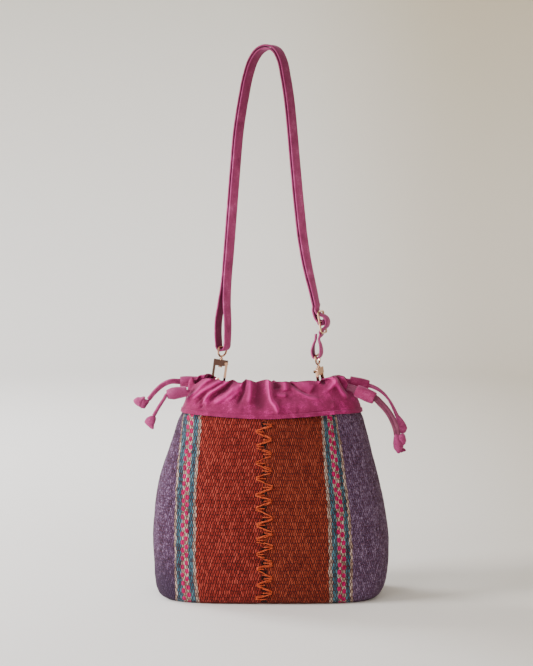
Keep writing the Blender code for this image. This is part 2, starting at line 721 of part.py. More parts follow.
def ring_tab(name, surface, collection):
    """The strip of suede that is folded round a ring's bar and sewn inside the band."""
    side, _, turn, (sewn_x, sewn_z) = RINGS[name]
    tip, point, across = ring_axes(name)
    bar = tip - point * RING_DEPTH
    lift = unit(np.cross(point, across)) * -side
    lift = lift if lift[2] > 0 else -lift
    radius = WIRE_RADIUS + CLEARANCE + TAB_THICKNESS / 2 + 0.3
    fold = []
    for angle in np.radians(np.linspace(90, -90, 7)):
        fold.append([*(bar + radius * (lift * math.sin(angle) + point * math.cos(angle))), turn])
    ply = TAB_THICKNESS / 2 + CLEARANCE / 2 + 0.1
    sewn = np.array([sewn_x, 0, sewn_z])
    neck = bar - point * 4.0
    middle = neck * 0.4 + sewn * 0.6
    upper = [
        [sewn_x - side * ply, 0, sewn_z - 2, 0], [sewn_x - side * ply, 0, sewn_z + 5, 0],
        [*(middle + lift * (ply + 0.6)), turn * 0.4], [*(neck + lift * (ply + 0.9)), turn],
    ]
    lower = [
        [*(neck - lift * (ply + 0.9)), turn], [*(middle - lift * (ply + 0.6)), turn * 0.4],
        [sewn_x - side * (3 * ply + 0.2), 0, sewn_z + 3, 0], [sewn_x - side * (3 * ply + 0.2), 0, sewn_z - 2, 0],
    ]
    line = smooth_line(upper + fold + lower, TIGHT_STEP)
    return ribbon(f"tab_{name}", line[:, :3], line[:, 3], TAB_WIDTH, TAB_THICKNESS, surface, collection)


def build():
    for thing in list(bpy.data.objects):
        bpy.data.objects.remove(thing)
    bag = new_collection("woven_drawstring_bag")
    wool_left = material("wool_left", PURPLE, 0.95)
    wool_right = material("wool_right", RUST, 0.95)
    suede = material("pink_suede", PINK, 0.9)
    gold = material("pale_gold", GOLD, 0.3, 1.0)
    wool_panel("body_left", -1, wool_left, bag)
    wool_panel("body_right", 1, wool_right, bag)
    suede_band(suede, bag)
    drawstring_ends(suede, bag)
    line = strap_line()
    ribbon("strap", line[:, :3], line[:, 3], STRAP_WIDTH, STRAP_THICKNESS, suede, bag)
    slider(gold, bag)
    for name in HOOKS:
        swivel_eye(name, gold, bag)
        hook_frame(name, gold, bag)
        hook_gate(name, gold, bag)
        bag_ring(name, gold, bag)
        ring_tab(name, suede, bag)


build()
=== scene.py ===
"""The woven drawstring bag, dressed over its solids for its picture.

+Z is up, -Y is the front, and the floor is at z = 0. Tables are in millimetres and degrees.
Colours are given as they look on a screen, from 0 to 255.
"""
import math

import bmesh
import bpy
import numpy as np
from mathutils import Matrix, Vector, noise

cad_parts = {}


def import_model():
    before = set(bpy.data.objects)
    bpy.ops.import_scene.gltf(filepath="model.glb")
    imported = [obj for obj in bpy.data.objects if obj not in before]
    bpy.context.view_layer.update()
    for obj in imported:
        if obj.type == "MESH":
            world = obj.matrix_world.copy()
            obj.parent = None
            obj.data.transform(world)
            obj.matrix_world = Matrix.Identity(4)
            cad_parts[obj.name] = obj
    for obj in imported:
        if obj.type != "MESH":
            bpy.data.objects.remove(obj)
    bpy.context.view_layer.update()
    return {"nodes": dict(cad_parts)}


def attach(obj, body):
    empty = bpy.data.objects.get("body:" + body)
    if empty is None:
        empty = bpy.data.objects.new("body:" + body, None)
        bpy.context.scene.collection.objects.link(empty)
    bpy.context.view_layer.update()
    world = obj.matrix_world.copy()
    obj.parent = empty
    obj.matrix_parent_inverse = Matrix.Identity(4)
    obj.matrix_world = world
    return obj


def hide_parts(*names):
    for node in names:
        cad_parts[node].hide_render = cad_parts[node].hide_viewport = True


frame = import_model()

MM = 0.001


def add_object(name, data):
    made = bpy.data.objects.new(name, data)
    bpy.context.scene.collection.objects.link(made)
    return made


# Camera

FOCAL_LENGTH = 93.35
CAMERA_PLACE = (-0.005, -1.9, 0.45)
CAMERA_LOOKS_DOWN = 4.79


def add_camera():
    lens = bpy.data.cameras.new("camera")
    lens.lens = FOCAL_LENGTH
    lens.sensor_width = 36
    lens.clip_start = 0.05
    camera = add_object("camera", lens)
    camera.location = CAMERA_PLACE
    camera.rotation_euler = (math.radians(90 - CAMERA_LOOKS_DOWN), 0, 0)
    bpy.context.scene.camera = camera


add_camera()


# Lines, surfaces and meshes

def eased(table, wanted):
    """Rows of a table at the wanted keys, joined by smooth curves. The first column is the key."""
    table = np.asarray(table, float)
    wanted = np.atleast_1d(np.asarray(wanted, float))
    key, rest = table[:, 0], table[:, 1:]
    spans = np.diff(key)[:, None]
    slopes = np.diff(rest, axis=0) / spans
    bends = (slopes[:-1] * spans[1:] + slopes[1:] * spans[:-1]) / (spans[:-1] + spans[1:])
    bends = np.vstack([slopes[:1], bends, slopes[-1:]])
    at = np.clip(np.searchsorted(key, wanted, "right") - 1, 0, len(key) - 2)
    span = spans[at]
    t = np.clip((wanted[:, None] - key[at][:, None]) / span, 0, 1)
    return (
        rest[at] * (1 - t) ** 2 * (1 + 2 * t) + rest[at + 1] * t**2 * (3 - 2 * t)
        + bends[at] * span * t * (1 - t) ** 2 - bends[at + 1] * span * t**2 * (1 - t)
    )


def smooth_line(points, step):
    """A smooth line through the points. The first three columns are a place."""
    points = np.asarray(points, float)
    spans = np.linalg.norm(np.diff(points[:, :3], axis=0), axis=1)
    along = np.concatenate([[0], np.cumsum(spans)])
    wanted = []
    for start, span in zip(along, spans):
        wanted.append(start + span * np.linspace(0, 1, max(2, round(span / step)), endpoint=False))
    wanted = np.concatenate(wanted + [along[-1:]])
    return eased(np.column_stack([along, points]), wanted)


def evenly_spaced(points, count):
    steps = np.linalg.norm(np.diff(points[:, :3], axis=0), axis=1)
    along = np.concatenate([[0], np.cumsum(steps)])
    wanted = np.linspace(0, along[-1], count)
    return np.stack([np.interp(wanted, along, column) for column in points.T], 1)


def unit(vector):
    return vector / np.linalg.norm(vector, axis=-1, keepdims=True)


def soft_step(value):
    value = np.clip(value, 0, 1)
    return value * value * (3 - 2 * value)


def bump_at(distance, width):
    return np.exp(-((distance / width) ** 2))


def outline(left, right, front, back, squareness, angles):
    cosine, sine = np.cos(angles), np.sin(angles)
    across = np.where(cosine < 0, left, right)
    deep = np.where(sine < 0, front, back)
    x = across * np.sign(cosine) * np.abs(cosine) ** (2 / squareness)
    y = deep * np.sign(sine) * np.abs(sine) ** (2 / squareness)
    return np.stack([x, y], 1)


def grid_faces(rows, columns, closed=False):
    faces = []
    for row in range(rows - 1):
        for column in range(columns if closed else columns - 1):
            after = (column + 1) % columns
            faces.append((
                row * columns + column, row * columns + after,
                (row + 1) * columns + after, (row + 1) * columns + column,
            ))
    return faces


def ring_loop(rows, columns):
    """Faces of a closed grid whose last ring joins its first."""
    faces = grid_faces(rows, columns, closed=True)
    last = (rows - 1) * columns
    for k in range(columns):
        after = (k + 1) % columns
        faces.append((last + k, last + after, after, k))
    return faces


def wavering(points, size, seed):
    """A soft random number for each point, about the same over that many millimetres."""
    shift = Vector((seed * 17.3, seed * 5.1, seed * 9.7))
    return np.array([noise.noise(Vector(p) / size + shift) for p in points])


def add_mesh(name, points, faces, surface, uv=None):
    """A mesh piece from points in millimetres, with a texture place for each point."""
    mesh = bpy.data.meshes.new(name)
    mesh.from_pydata([tuple(p) for p in np.asarray(points, float) * MM], [], faces)
    if uv is not None:
        layer = mesh.uv_layers.new(name="cloth")
        corners = np.zeros(len(mesh.loops), int)
        mesh.loops.foreach_get("vertex_index", corners)
        layer.data.foreach_set("uv", np.asarray(uv, float)[corners].ravel())
    mesh.materials.append(surface)
    mesh.shade_smooth()
    piece = add_object(name, mesh)
    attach(piece, "bag")
    return piece


def closed_piece(name, points, faces, surface):
    """A closed mesh piece whose faces all look outward."""
    piece = add_mesh(name, points, faces, surface)
    work = bmesh.new()
    work.from_mesh(piece.data)
    bmesh.ops.recalc_face_normals(work, faces=work.faces)
    work.to_mesh(piece.data)
    work.free()
    return piece


def tube(points, radius, sides):
    """Points and faces of a closed round tube along a line."""
    along = unit(np.gradient(points, axis=0))
    guide = np.array([0.0, 0.0, 1.0] if abs(along[0][2]) < 0.9 else [1.0, 0.0, 0.0])
    angles = np.linspace(0, 2 * math.pi, sides, endpoint=False)[:, None]
    rings = []
    for place, way in zip(points, along):
        side = unit(np.cross(way, guide))
        guide = np.cross(side, way)
        rings.append(place + radius * (np.cos(angles) * side + np.sin(angles) * guide))
    return closed_ends(np.vstack(rings), len(points), sides)


def closed_ends(points, rows, sides):
    faces = grid_faces(rows, sides, closed=True)
    ends = np.vstack([points[:sides].mean(0), points[-sides:].mean(0)])
    first = len(points)
    last_ring = (rows - 1) * sides
    for k in range(sides):
        after = (k + 1) % sides
        faces.append((first, after, k))
        faces.append((first + 1, last_ring + k, last_ring + after))
    return np.vstack([points, ends]), faces


def joined(parts):
    """Several lists of points and faces as one."""
    points, faces, count = [], [], 0
    for some_points, some_faces in parts:
        points.append(some_points)
        faces.extend(tuple(index + count for index in face) for face in some_faces)
        count += len(some_points)
    return np.vstack(points), faces


# Shader arithmetic

def screen(red, green, blue):
    """A screen colour as the linear colour that a shader wants."""
    parts = []
    for value in (red, green, blue):
        value /= 255
        parts.append(value / 12.92 if value <= 0.04045 else ((value + 0.055) / 1.055) ** 2.4)
    return (*parts, 1.0)


def fill(tree, slots, values):
    """Puts wires or plain values into a node's sockets."""
    for slot, value in zip(slots, values):
        if isinstance(value, Wire):
            tree.links.new(value.socket, slot)
        else:
            slot.default_value = value


class Wire:
    """A socket of a shader's tree, with plain arithmetic."""

    def __init__(self, tree, socket):
        self.tree = tree
        self.socket = socket

    def maths(self, operation, *others):
        node = self.tree.nodes.new("ShaderNodeMath")
        node.operation = operation
        fill(self.tree, node.inputs, (self, *others))
        return Wire(self.tree, node.outputs[0])

    def __add__(self, other):
        return self.maths("ADD", other)

    def __sub__(self, other):
        return self.maths("SUBTRACT", other)

    def __mul__(self, other):
        return self.maths("MULTIPLY", other)

    def __truediv__(self, other):
        return self.maths("DIVIDE", other)

    def floor(self):
        return self.maths("FLOOR")

    def fract(self):
        return self.maths("FRACT")

    def size(self):
        return self.maths("ABSOLUTE")

    def power(self, other):
        return self.maths("POWER", other)

    def over(self, limit):
        return self.maths("GREATER_THAN", limit)

    def blend(self, low, high):
        """The low number where this is 0, and the high one where it is 1."""
        return low + (high - low) * self

    def ramp(self, low, high):
        """0 at low, 1 at high, and soft between. It may fall."""
        node = self.tree.nodes.new("ShaderNodeMapRange")
        node.interpolation_type = "SMOOTHSTEP"
        self.tree.links.new(self.socket, node.inputs["Value"])
        node.inputs["From Min"].default_value = low
        node.inputs["From Max"].default_value = high
        return Wire(self.tree, node.outputs["Result"])

    def pick(self, low, high):
        """The low colour where this is 0, and the high one where it is 1."""
        node = self.tree.nodes.new("ShaderNodeMix")
        node.data_type = "RGBA"
        self.tree.links.new(self.socket, node.inputs["Factor"])
        fill(self.tree, (node.inputs[6], node.inputs[7]), (low, high))
        return Wire(self.tree, node.outputs[2])


def paint(tree, shader, colour):
    tree.links.new(colour.socket, shader.inputs["Base Color"])


def joined_vector(tree, *parts):
    node = tree.nodes.new("ShaderNodeCombineXYZ")
    fill(tree, node.inputs, parts)
    return Wire(tree, node.outputs[0])


def parts_of(tree, socket):
    """The three numbers of a vector."""
    node = tree.nodes.new("ShaderNodeSeparateXYZ")
    tree.links.new(socket, node.inputs[0])
    return [Wire(tree, output) for output in node.outputs]


def chance(tree, *parts):
    """A random number from 0 to 1 that is the same wherever the parts are the same."""
    node = tree.nodes.new("ShaderNodeTexWhiteNoise")
    tree.links.new(joined_vector(tree, *parts).socket, node.inputs["Vector"])
    return Wire(tree, node.outputs["Value"])


def cloud(tree, place, scale, detail=3, roughness=0.5):
    """Soft random numbers round 0.5."""
    node = tree.nodes.new("ShaderNodeTexNoise")
    tree.links.new(place.socket, node.inputs["Vector"])
    node.inputs["Scale"].default_value = scale
    node.inputs["Detail"].default_value = detail
    node.inputs["Roughness"].default_value = roughness
    return Wire(tree, node.outputs[0])


def new_material(name, roughness, metallic=0.0, sheen=0.0, sheen_tint=(1, 1, 1, 1)):
    made = bpy.data.materials.new(name)
    made.use_nodes = True
    tree = made.node_tree
    shader = tree.nodes["Principled BSDF"]
    shader.inputs["Roughness"].default_value = roughness
    shader.inputs["Metallic"].default_value = metallic
    if not metallic:
        shader.inputs["Specular IOR Level"].default_value = 0.2
    shader.inputs["Sheen Weight"].default_value = sheen
    shader.inputs["Sheen Tint"].default_value = sheen_tint
    place = tree.nodes.new("ShaderNodeTexCoord")
    return made, tree, shader, place


def raise_surface(tree, shader, height, distance, strength=1.0):
    node = tree.nodes.new("ShaderNodeBump")
    node.inputs["Distance"].default_value = distance
    node.inputs["Strength"].default_value = strength
    tree.links.new(height.socket, node.inputs["Height"])
    tree.links.new(node.outputs["Normal"], shader.inputs["Normal"])


# Wool

THREAD_PITCH = 1.35
GRAIN_LENGTH = 7.6
GRAIN_JITTER = 0.1
GRAIN_HALF_WIDTH = 0.74
STRIPE_START = 74.0
STRIPE_WIDTH = 25.0
DOT_PITCH = 9.0
# Each wool: its usual colour, its darkest and its lightest
CREAM = (screen(164, 140, 126), screen(104, 82, 74), screen(190, 168, 156))
TEAL = (screen(40, 84, 100), screen(16, 34, 46), screen(72, 118, 132))
MAGENTA = (screen(168, 2, 80), screen(116, 0, 46), screen(188, 8, 98))
LEFT_PURPLE = (screen(70, 50, 78), screen(34, 21, 42), screen(128, 104, 136))
RIGHT_PURPLE = (screen(88, 68, 98), screen(48, 33, 58), screen(136, 116, 146))
RED = (screen(137, 38, 30), screen(102, 18, 12), screen(166, 62, 50))
RUST = (screen(122, 40, 20), screen(94, 21, 9), screen(146, 60, 38))
# Deep red painted as shade in the gaps between the floats of wool
SLIT_SHADE = screen(66, 11, 8)
TAR = screen(16, 12, 15)


def grains(tree, across, up, lean):
    """How high the nearest float of wool stands, and a random number that it has to itself."""
    thread = across / THREAD_PITCH
    first = thread.floor()
    tall, tone = None, None
    for step in (-1.0, 0.0, 1.0):
        column = first + step
        jitter = chance(tree, column, 3.1) * GRAIN_JITTER
        rows = up / GRAIN_LENGTH + column * 0.5 + jitter
        row = rows.floor()
        end = rows.fract() - 0.5
        aside = (thread - column) - 0.5 - lean * end
        own = chance(tree, column, row, 1.0)
        rounded = (aside / GRAIN_HALF_WIDTH).power(2)
        tapered = (end.size() / (own * 0.07 + 0.26)).power(2.2)
        height = rounded * -1.0 - tapered + 1.0 + own * 0.12
        if tall is None:
            tall, tone = height, own
        else:
            higher = height.over(tall)
            tone = higher.blend(tone, own)
            tall = tall.maths("MAXIMUM", height)
    return tall, tone


def wool(name, ground, purple_wool, lean, edges, dot_places, dot_shift, low_shade):
    """Dense weave whose colours change across the cloth, from the seam to the side."""
    made, tree, shader, place = new_material(name, 0.95, sheen=0.04, sheen_tint=(1.0, 0.7, 0.7, 1))
    across, up, _ = parts_of(tree, place.outputs["UV"])
    x, y, z = parts_of(tree, place.outputs["Object"])
    spot = joined_vector(tree, across, up)
    drift = cloud(tree, spot, 0.07, 2) - 0.5
    slant = across.ramp(STRIPE_START + 0.5, STRIPE_START - 0.5) * lean
    tall, tone = grains(tree, across + drift * 1.6, up + drift * 3.0, slant)
    fibre = cloud(tree, joined_vector(tree, x * 2200, y * 2200, z * 700), 1.0, 3, 0.7)
    speckle = cloud(tree, Wire(tree, place.outputs["Object"]), 560, 2, 0.6)
    broad = cloud(tree, spot, 0.03, 2) - 0.5
    level = tone * 0.6 + fibre * 0.7 + broad * 0.15 - 0.15
    speckled = tone * 0.35 + fibre * 0.6 + speckle * 1.7 + broad * 0.2 - 0.87

    def melange(wools, amount):
        base, deep, light = wools
        return amount.ramp(0.48, 0.82).pick(amount.ramp(0.05, 0.42).pick(deep, base), light)

    share = (across - STRIPE_START) / STRIPE_WIDTH + (tone - 0.5) * 0.05
    spots = []
    for where, shift in zip(dot_places, (0.0, dot_shift)):
        number = up / DOT_PITCH + shift
        dot = number.floor()
        wobble = chance(tree, dot, where) - 0.5
        plump = chance(tree, dot, where, 4.0) * 0.3 + 0.86
        slip = (chance(tree, dot, where, 6.0) - 0.5) * 0.14
        aside = (across - (STRIPE_START + where * STRIPE_WIDTH) + wobble) / 2.05
        lengthwise = (number.fract() - 0.5 + slip) * DOT_PITCH / 2.7
        apart = (aside.size().power(2.6) + lengthwise.size().power(3.0)) / plump
        spots.append((apart + (fibre - 0.5) * 0.6).ramp(1.2, 0.85))
    dots = spots[0].maths("MAXIMUM", spots[1])
    mixed = melange(ground, level)
    for limit, stripe in zip(edges, (CREAM, TEAL, CREAM, TEAL, CREAM)):
        mixed = share.over(limit).pick(mixed, melange(stripe, level))
    in_purple = share.over(edges[5])
    mixed = in_purple.pick(mixed, melange(purple_wool, speckled))
    mixed = dots.pick(mixed, melange(MAGENTA, level))
    in_red = share.over(edges[0]) * -1.0 + 1.0
    # Painted shade in the gaps between the floats: weaker on the dots and the purple, stronger on the red
    pit = tall.ramp(0.62, 0.05)
    painted_pit_shade = pit * (dots * -0.7 + 1.0) * (in_purple * -0.35 + 1.0) * (in_red * 0.25 + 0.75)
    final = painted_pit_shade.pick(mixed, SLIT_SHADE)
    black = tall.ramp(0.2, -0.05) * fibre.ramp(0.52, 0.64) * (in_purple * -0.5 + 1.0)
    final = (black * 0.8).pick(final, TAR)
    # Partly dark selvedge and flecks at the seam, partly painted shade under and between the fan strands
    knotting = cloud(tree, joined_vector(tree, across * 0.5, up), 0.19, 1)
    seam_dark_and_shade = across.ramp(4.8, 2.0) * knotting.ramp(0.48, 0.56)
    final = (seam_dark_and_shade * 0.9).pick(final, TAR)
    # Painted shade: the purple darkens towards the base
    final = (up.ramp(75.0, 5.0) * in_purple * low_shade).pick(final, purple_wool[1])
    paint(tree, shader, final)
    fuzz = cloud(tree, spot, 1.3, 3, 0.7)
    relief = tall.ramp(-0.3, 1.0) * (in_purple * -0.3 + 1.0) + fuzz * 0.35 + dots * 0.4
    raise_surface(tree, shader, relief, 0.0009, 1.0)
    return made


# z, reach to the left, right, front and back, and squareness of the outline at that height
POUCH = (
    (0, 117, 114, 54, 54, 3.8), (3, 122.5, 119.5, 59, 59, 3.6), (9, 126.5, 124.5, 61.8, 61.8, 3.3),
    (18, 128.4, 127.6, 63, 63, 3.1), (34, 129.5, 130, 64.5, 64.5, 2.9),
    (58, 131, 131, 65.5, 65.5, 2.8), (90, 130, 128, 65, 65, 2.7),
    (122, 125.5, 121.5, 62.5, 62, 2.6), (150, 118, 114.5, 59, 58, 2.5),
    (177, 108.2, 107.5, 54.5, 54, 2.4), (202, 98.8, 99.4, 50.6, 49.8, 2.3),
    (208.5, 94.6, 96.2, 47.8, 47, 2.3),
)
CLOTH_THICKNESS = 2.5
SEAM_X = -7.5
PANEL_COLUMNS = 190
BASE_RINGS = (0.12, 0.3, 0.5, 0.7, 0.85, 0.95)
LOW_LEVELS = (0, 0.5, 1.2, 2.1, 3.2, 4.6, 6.4, 8.6, 11.2, 14.2, 17.6)
DENTS = (
    (-60, 120, 22, 60, 1.6), (62, 60, 24, 45, 1.4), (-7, 60, 16, 70, -1.4), (40, 175, 20, 25, -1.2),
)
# z, and how far along the cloth from the seam the striped border starts and ends
BORDER_LEFT = (
    (0, 70.4, 98.2), (5, 70.6, 98.4), (18, 72.4, 98.9), (31, 74.2, 99.5), (56, 74.8, 99.9),
    (81, 74.4, 100), (97, 74.6, 99.6), (132, 73.9, 99.5), (170, 71.4, 98.5), (184, 70.8, 99.3),
    (209, 70.6, 102),
)
BORDER_RIGHT = (
    (0, 70.8, 97.7), (16, 70.4, 96.8), (33, 70, 96.9), (53, 69.8, 97), (77, 69.7, 95.3),
    (98, 68.9, 94), (119, 67.1, 91.9), (143, 65.4, 88.8), (168, 63.9, 86), (192, 63, 81.9),
    (209, 62, 79.8),
)


def dented(points):
    points = points.copy()
    front = points[:, 1] < 0
    for x, z, half_width, half_height, depth in DENTS:
        away = ((points[:, 0] - x) / half_width) ** 2 + ((points[:, 2] - z) / half_height) ** 2
        base_hold = soft_step(points[:, 2] / 20) * soft_step((200 - points[:, 2]) / 20)
        points[:, 1] -= depth * np.exp(-away) * base_hold * front
    return points


def panel_ring(level, side):
    """One half of the pouch's outline at a level, from the front seam round to the back seam."""
    z, left, right, front, back, squareness = level
    seam = math.asin((abs(SEAM_X) / left) ** (squareness / 2))
    end = math.pi / 2 if side > 0 else -3 * math.pi / 2
    angles = np.linspace(-math.pi / 2 - seam, end + seam, 721)
    flat = evenly_spaced(outline(left, right, front, back, squareness, angles), PANEL_COLUMNS)
    flat[[0, -1], 0] = SEAM_X
    return np.column_stack([flat, np.full(len(flat), float(z))])


def loom_place(ring, border):
    """How far each point of a ring lies from the nearer seam, with the border at fixed places."""
    steps = np.linalg.norm(np.diff(ring[:, :2], axis=0), axis=1)
    along = np.concatenate([[0], np.cumsum(steps)])
    near = np.minimum(along, along[-1] - along)
    start, end = eased(border, ring[0, 2])[0]
    stripe_end = STRIPE_START + STRIPE_WIDTH
    inner = near * STRIPE_START / start
    stripes = STRIPE_START + (near - start) / (end - start) * STRIPE_WIDTH
    return np.where(near < start, inner, np.where(near < end, stripes, stripe_end + near - end)), near


def wool_panel(name, node, side, border, surface):
    """One loom width: front, side, back and its half of the base, open at the mouth."""
    heights = np.concatenate([LOW_LEVELS, np.linspace(20.5, 208.5, 95)])
    levels = np.column_stack([heights, eased(POUCH, heights)])
    rings = [panel_ring(level, side) for level in levels]
    places = [loom_place(ring, border) for ring in rings]
    hub = np.array([SEAM_X, 0.0, 0.0])
    base = [hub + (rings[0] - hub) * share for share in BASE_RINGS]
    stack = base + rings
    steps = [np.linalg.norm(b - a, axis=1).mean() for a, b in zip(stack, stack[1:])]
    up = np.concatenate([[0], np.cumsum(steps)])
    up = up - up[len(base)]
    across = np.vstack([places[0][0]] * len(base) + [place[0] for place in places])
    near = np.vstack([places[0][1]] * len(base) + [place[1] for place in places])
    points = dented(np.vstack(stack))
    grid = points.reshape(len(stack), PANEL_COLUMNS, 3)
    out = unit(np.cross(np.gradient(grid, axis=1), np.gradient(grid, axis=0)).reshape(-1, 3)) * side
    held = soft_step(points[:, 2] / 8)
    swell = wavering(points, 26, 2) * 0.7 + wavering(points, 7, 3) * 0.28
    pucker = -0.9 * bump_at(near.ravel(), 2.4)
    points = points + out * ((swell + pucker) * held)[:, None]
    points[:, 2] = np.maximum(points[:, 2], 0)
    uv = np.column_stack([across.ravel(), np.repeat(up, PANEL_COLUMNS)])
    faces = grid_faces(len(stack), PANEL_COLUMNS)
    hub_index = len(points)
    for column in range(PANEL_COLUMNS - 1):
        faces.append((hub_index, column + 1, column))
    faces = [face if side > 0 else face[::-1] for face in faces]
    uv = np.vstack([uv, [uv[0][0], uv[0][1]]])
    panel = add_mesh(name, np.vstack([points, hub]), faces, surface, uv)
    shell = panel.modifiers.new("Thickness", "SOLIDIFY")
    shell.thickness = CLOTH_THICKNESS * MM
    shell.offset = -1
    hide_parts(node)


red_side_wool = wool(
    "red_side_wool", RED, LEFT_PURPLE, lean=-0.5, edges=(0, 0.12, 0.335, 0.65, 0.91, 1.0),
    dot_places=(0.42, 0.60), dot_shift=0.5, low_shade=0.85,
)
rust_side_wool = wool(
    "rust_side_wool", RUST, RIGHT_PURPLE, lean=0.0, edges=(0, 0.14, 0.37, 0.70, 0.88, 1.0),
    dot_places=(0.44, 0.61), dot_shift=0.38, low_shade=0.1,
)
wool_panel("wool_left", "body_left", -1, BORDER_LEFT, red_side_wool)
wool_panel("wool_right", "body_right", 1, BORDER_RIGHT, rust_side_wool)


def pouch_face(x, z, way):
    """Where the pouch's front (way -1) or back (way 1) is at a place seen from the front."""
    left, right, front, back, squareness = eased(POUCH, z)[0]
    reach, deep = left if x < 0 else right, front if way < 0 else back
    y = way * deep * (1 - (abs(x) / reach) ** squareness) ** (1 / squareness)
    return dented(np.array([[x, y, z]]))[0, 1]


# Seam: hand-sewn fans of thick yarn that meet in a zigzag

FAN_REACH = 8.5
FAN_PITCH = 16.6
FAN_COUNT = 12
YARN_RADIUS = 0.5
FAN_TOP = 197


def yarn():
    made, tree, shader, place = new_material("orange_yarn", 0.95, sheen=0.2, sheen_tint=(1.0, 0.6, 0.4, 1))
    spot = Wire(tree, place.outputs["Object"])
    tone = cloud(tree, spot, 420, 4, 0.7).ramp(0.3, 0.7)
    colour = tone.pick(screen(146, 44, 20), screen(206, 88, 46))
    paint(tree, shader, colour)
    raise_surface(tree, shader, cloud(tree, spot, 900, 3, 0.7), 0.0005)
    return made


def seam_strand(start, end, lift, droop, way):
    """A strand from a fan's tip to where it dives into the cloth, a little proud between."""
    points = []
    for share in np.linspace(0, 1, 8):
        x, z = start + (end - start) * share
        z += droop * math.sin(math.pi * share)
        rise = lift * (0.2 + math.sin(math.pi * min(1, 0.1 + 0.9 * share)) ** 0.7)
        points.append((x, pouch_face(x, z, way) + way * rise, z))
    return tube(smooth_line(points, 1.0), YARN_RADIUS, 6)


def seam_fans(name, way, seed):
    """Fans on both sides of a seam. Most send one long strand across to the next fan below."""
    random = np.random.default_rng(seed)
    tips = []
    for k in range(2 * FAN_COUNT):
        side = -1 if k % 2 == 0 else 1
        x = SEAM_X + side * (FAN_REACH + random.uniform(-1.0, 0.8))
        tips.append((side, np.array([x, 6 + FAN_PITCH / 2 * k + random.uniform(-1.1, 1.1)])))
    strands = []
    for k, (side, tip) in enumerate(tips):
        if tip[1] > FAN_TOP:
            continue
        if k > 0 and random.uniform() > 0.15:
            below = tips[k - 1][1] + (0, random.uniform(0.2, 1.8))
            strands.append((tip - (0, 0.7), below, 0.9))
        if k + 1 < len(tips) and random.uniform() > 0.35:
            slip = (random.uniform(-1.5, 1.5), random.uniform(-0.8, 0.8))
            strands.append((tip + (0, 0.9), (tip + tips[k + 1][1]) / 2 + slip, 0.8))
        spread = random.uniform(1.6, 4.6)
        for share in (-0.6, 0.0, 0.6):
            end_x = SEAM_X - side * random.uniform(-0.8, 2.0)
            end_z = tip[1] + share * 7.5 + random.uniform(-0.6, 0.6)
            start = tip + (random.uniform(-0.8, 0.6) * side, share * spread)
            strands.append((start, np.array([end_x, end_z]), 0.7))
    pieces = [
        seam_strand(start, end, lift + random.uniform(-0.1, 0.2), random.uniform(-0.5, 0.5), way)
        for start, end, lift in strands if 3 < end[1] < FAN_TOP and start[1] < FAN_TOP
    ]
    points, faces = joined(pieces)
    fans = add_mesh(name, points, faces, orange_yarn)


orange_yarn = yarn()
seam_fans("front_seam_fans", -1, seed=5)
seam_fans("back_seam_fans", 1, seed=8)


# Suede

# Each suede: its usual colour, its darkest and its lightest
PINK = (screen(132, 32, 80), screen(106, 20, 58), screen(208, 50, 140))
MAUVE = (screen(158, 62, 112), screen(118, 38, 76), screen(196, 98, 150))
ROSE = (screen(138, 40, 86), screen(106, 26, 62), screen(176, 70, 122))
# A darker copy of the cord suede, painted as shade on the front right lace
SHADED_MAUVE = (screen(112, 54, 78), screen(82, 36, 54), screen(142, 80, 104))
# Painted shade, mixed into the suede in fold hollows, at the strap's top and on shaded knot pads
VALLEY_SHADE = screen(88, 16, 46)


def suede(name, colours, folds=False, top_shade=0.0):
    """Napped suede: a fine pile with patches that were brushed the other way."""
    made, tree, shader, place = new_material(name, 0.9, sheen=0.4, sheen_tint=(1.0, 0.4, 0.72, 1))
    shader.inputs["Sheen Roughness"].default_value = 0.4
    spot = Wire(tree, place.outputs["Object"])
    fine = cloud(tree, spot, 1040, 3, 0.65)
    brushed = cloud(tree, spot, 75, 5, 0.62)
    level = fine * 0.4 + brushed * 0.6
    base, deep, light = colours
    colour = level.ramp(0.5, 0.68).pick(level.ramp(0.32, 0.5).pick(deep, base), light)
    if folds:
        # Painted light from the fold attribute: shade in the hollows, highlight on the ridges
        fold = tree.nodes.new("ShaderNodeAttribute")
        fold.attribute_name = "fold"
        stands = Wire(tree, fold.outputs["Fac"])
        colour = (stands.ramp(0.0, -0.8) * 0.75).pick(colour, VALLEY_SHADE)
        colour = (stands.ramp(0.25, 1.0) * 0.65).pick(colour, light)
    # Painted shade: the suede darkens towards its top, from 0.42 m up
    if top_shade:
        shade = parts_of(tree, place.outputs["Object"])[2].ramp(0.42, 0.60)
        colour = (shade * top_shade).pick(colour, VALLEY_SHADE)
    paint(tree, shader, colour)
    raise_surface(tree, shader, fine * 0.6 + cloud(tree, spot, 260, 3, 0.6) * 0.6, 0.00035, 0.8)
    return made


band_suede = suede("band_suede", PINK, folds=True)
strap_suede = suede("strap_suede", MAUVE, folds=True, top_shade=0.65)
knot_suede = suede("knot_suede", MAUVE, folds=True)
cord_suede = suede("cord_suede", MAUVE)
shaded_suede = suede("shaded_suede", SHADED_MAUVE)
rose_suede = suede("rose_suede", ROSE)


def set_fold_light(piece, values):
    """How far each point stands out of the folds, or lies hidden between them when below 0: the suede paints
    highlight and shade by it.
    """
    piece.data.attributes.new("fold", "FLOAT", "POINT").data.foreach_set("value", values)


BAND_COLUMNS = 620
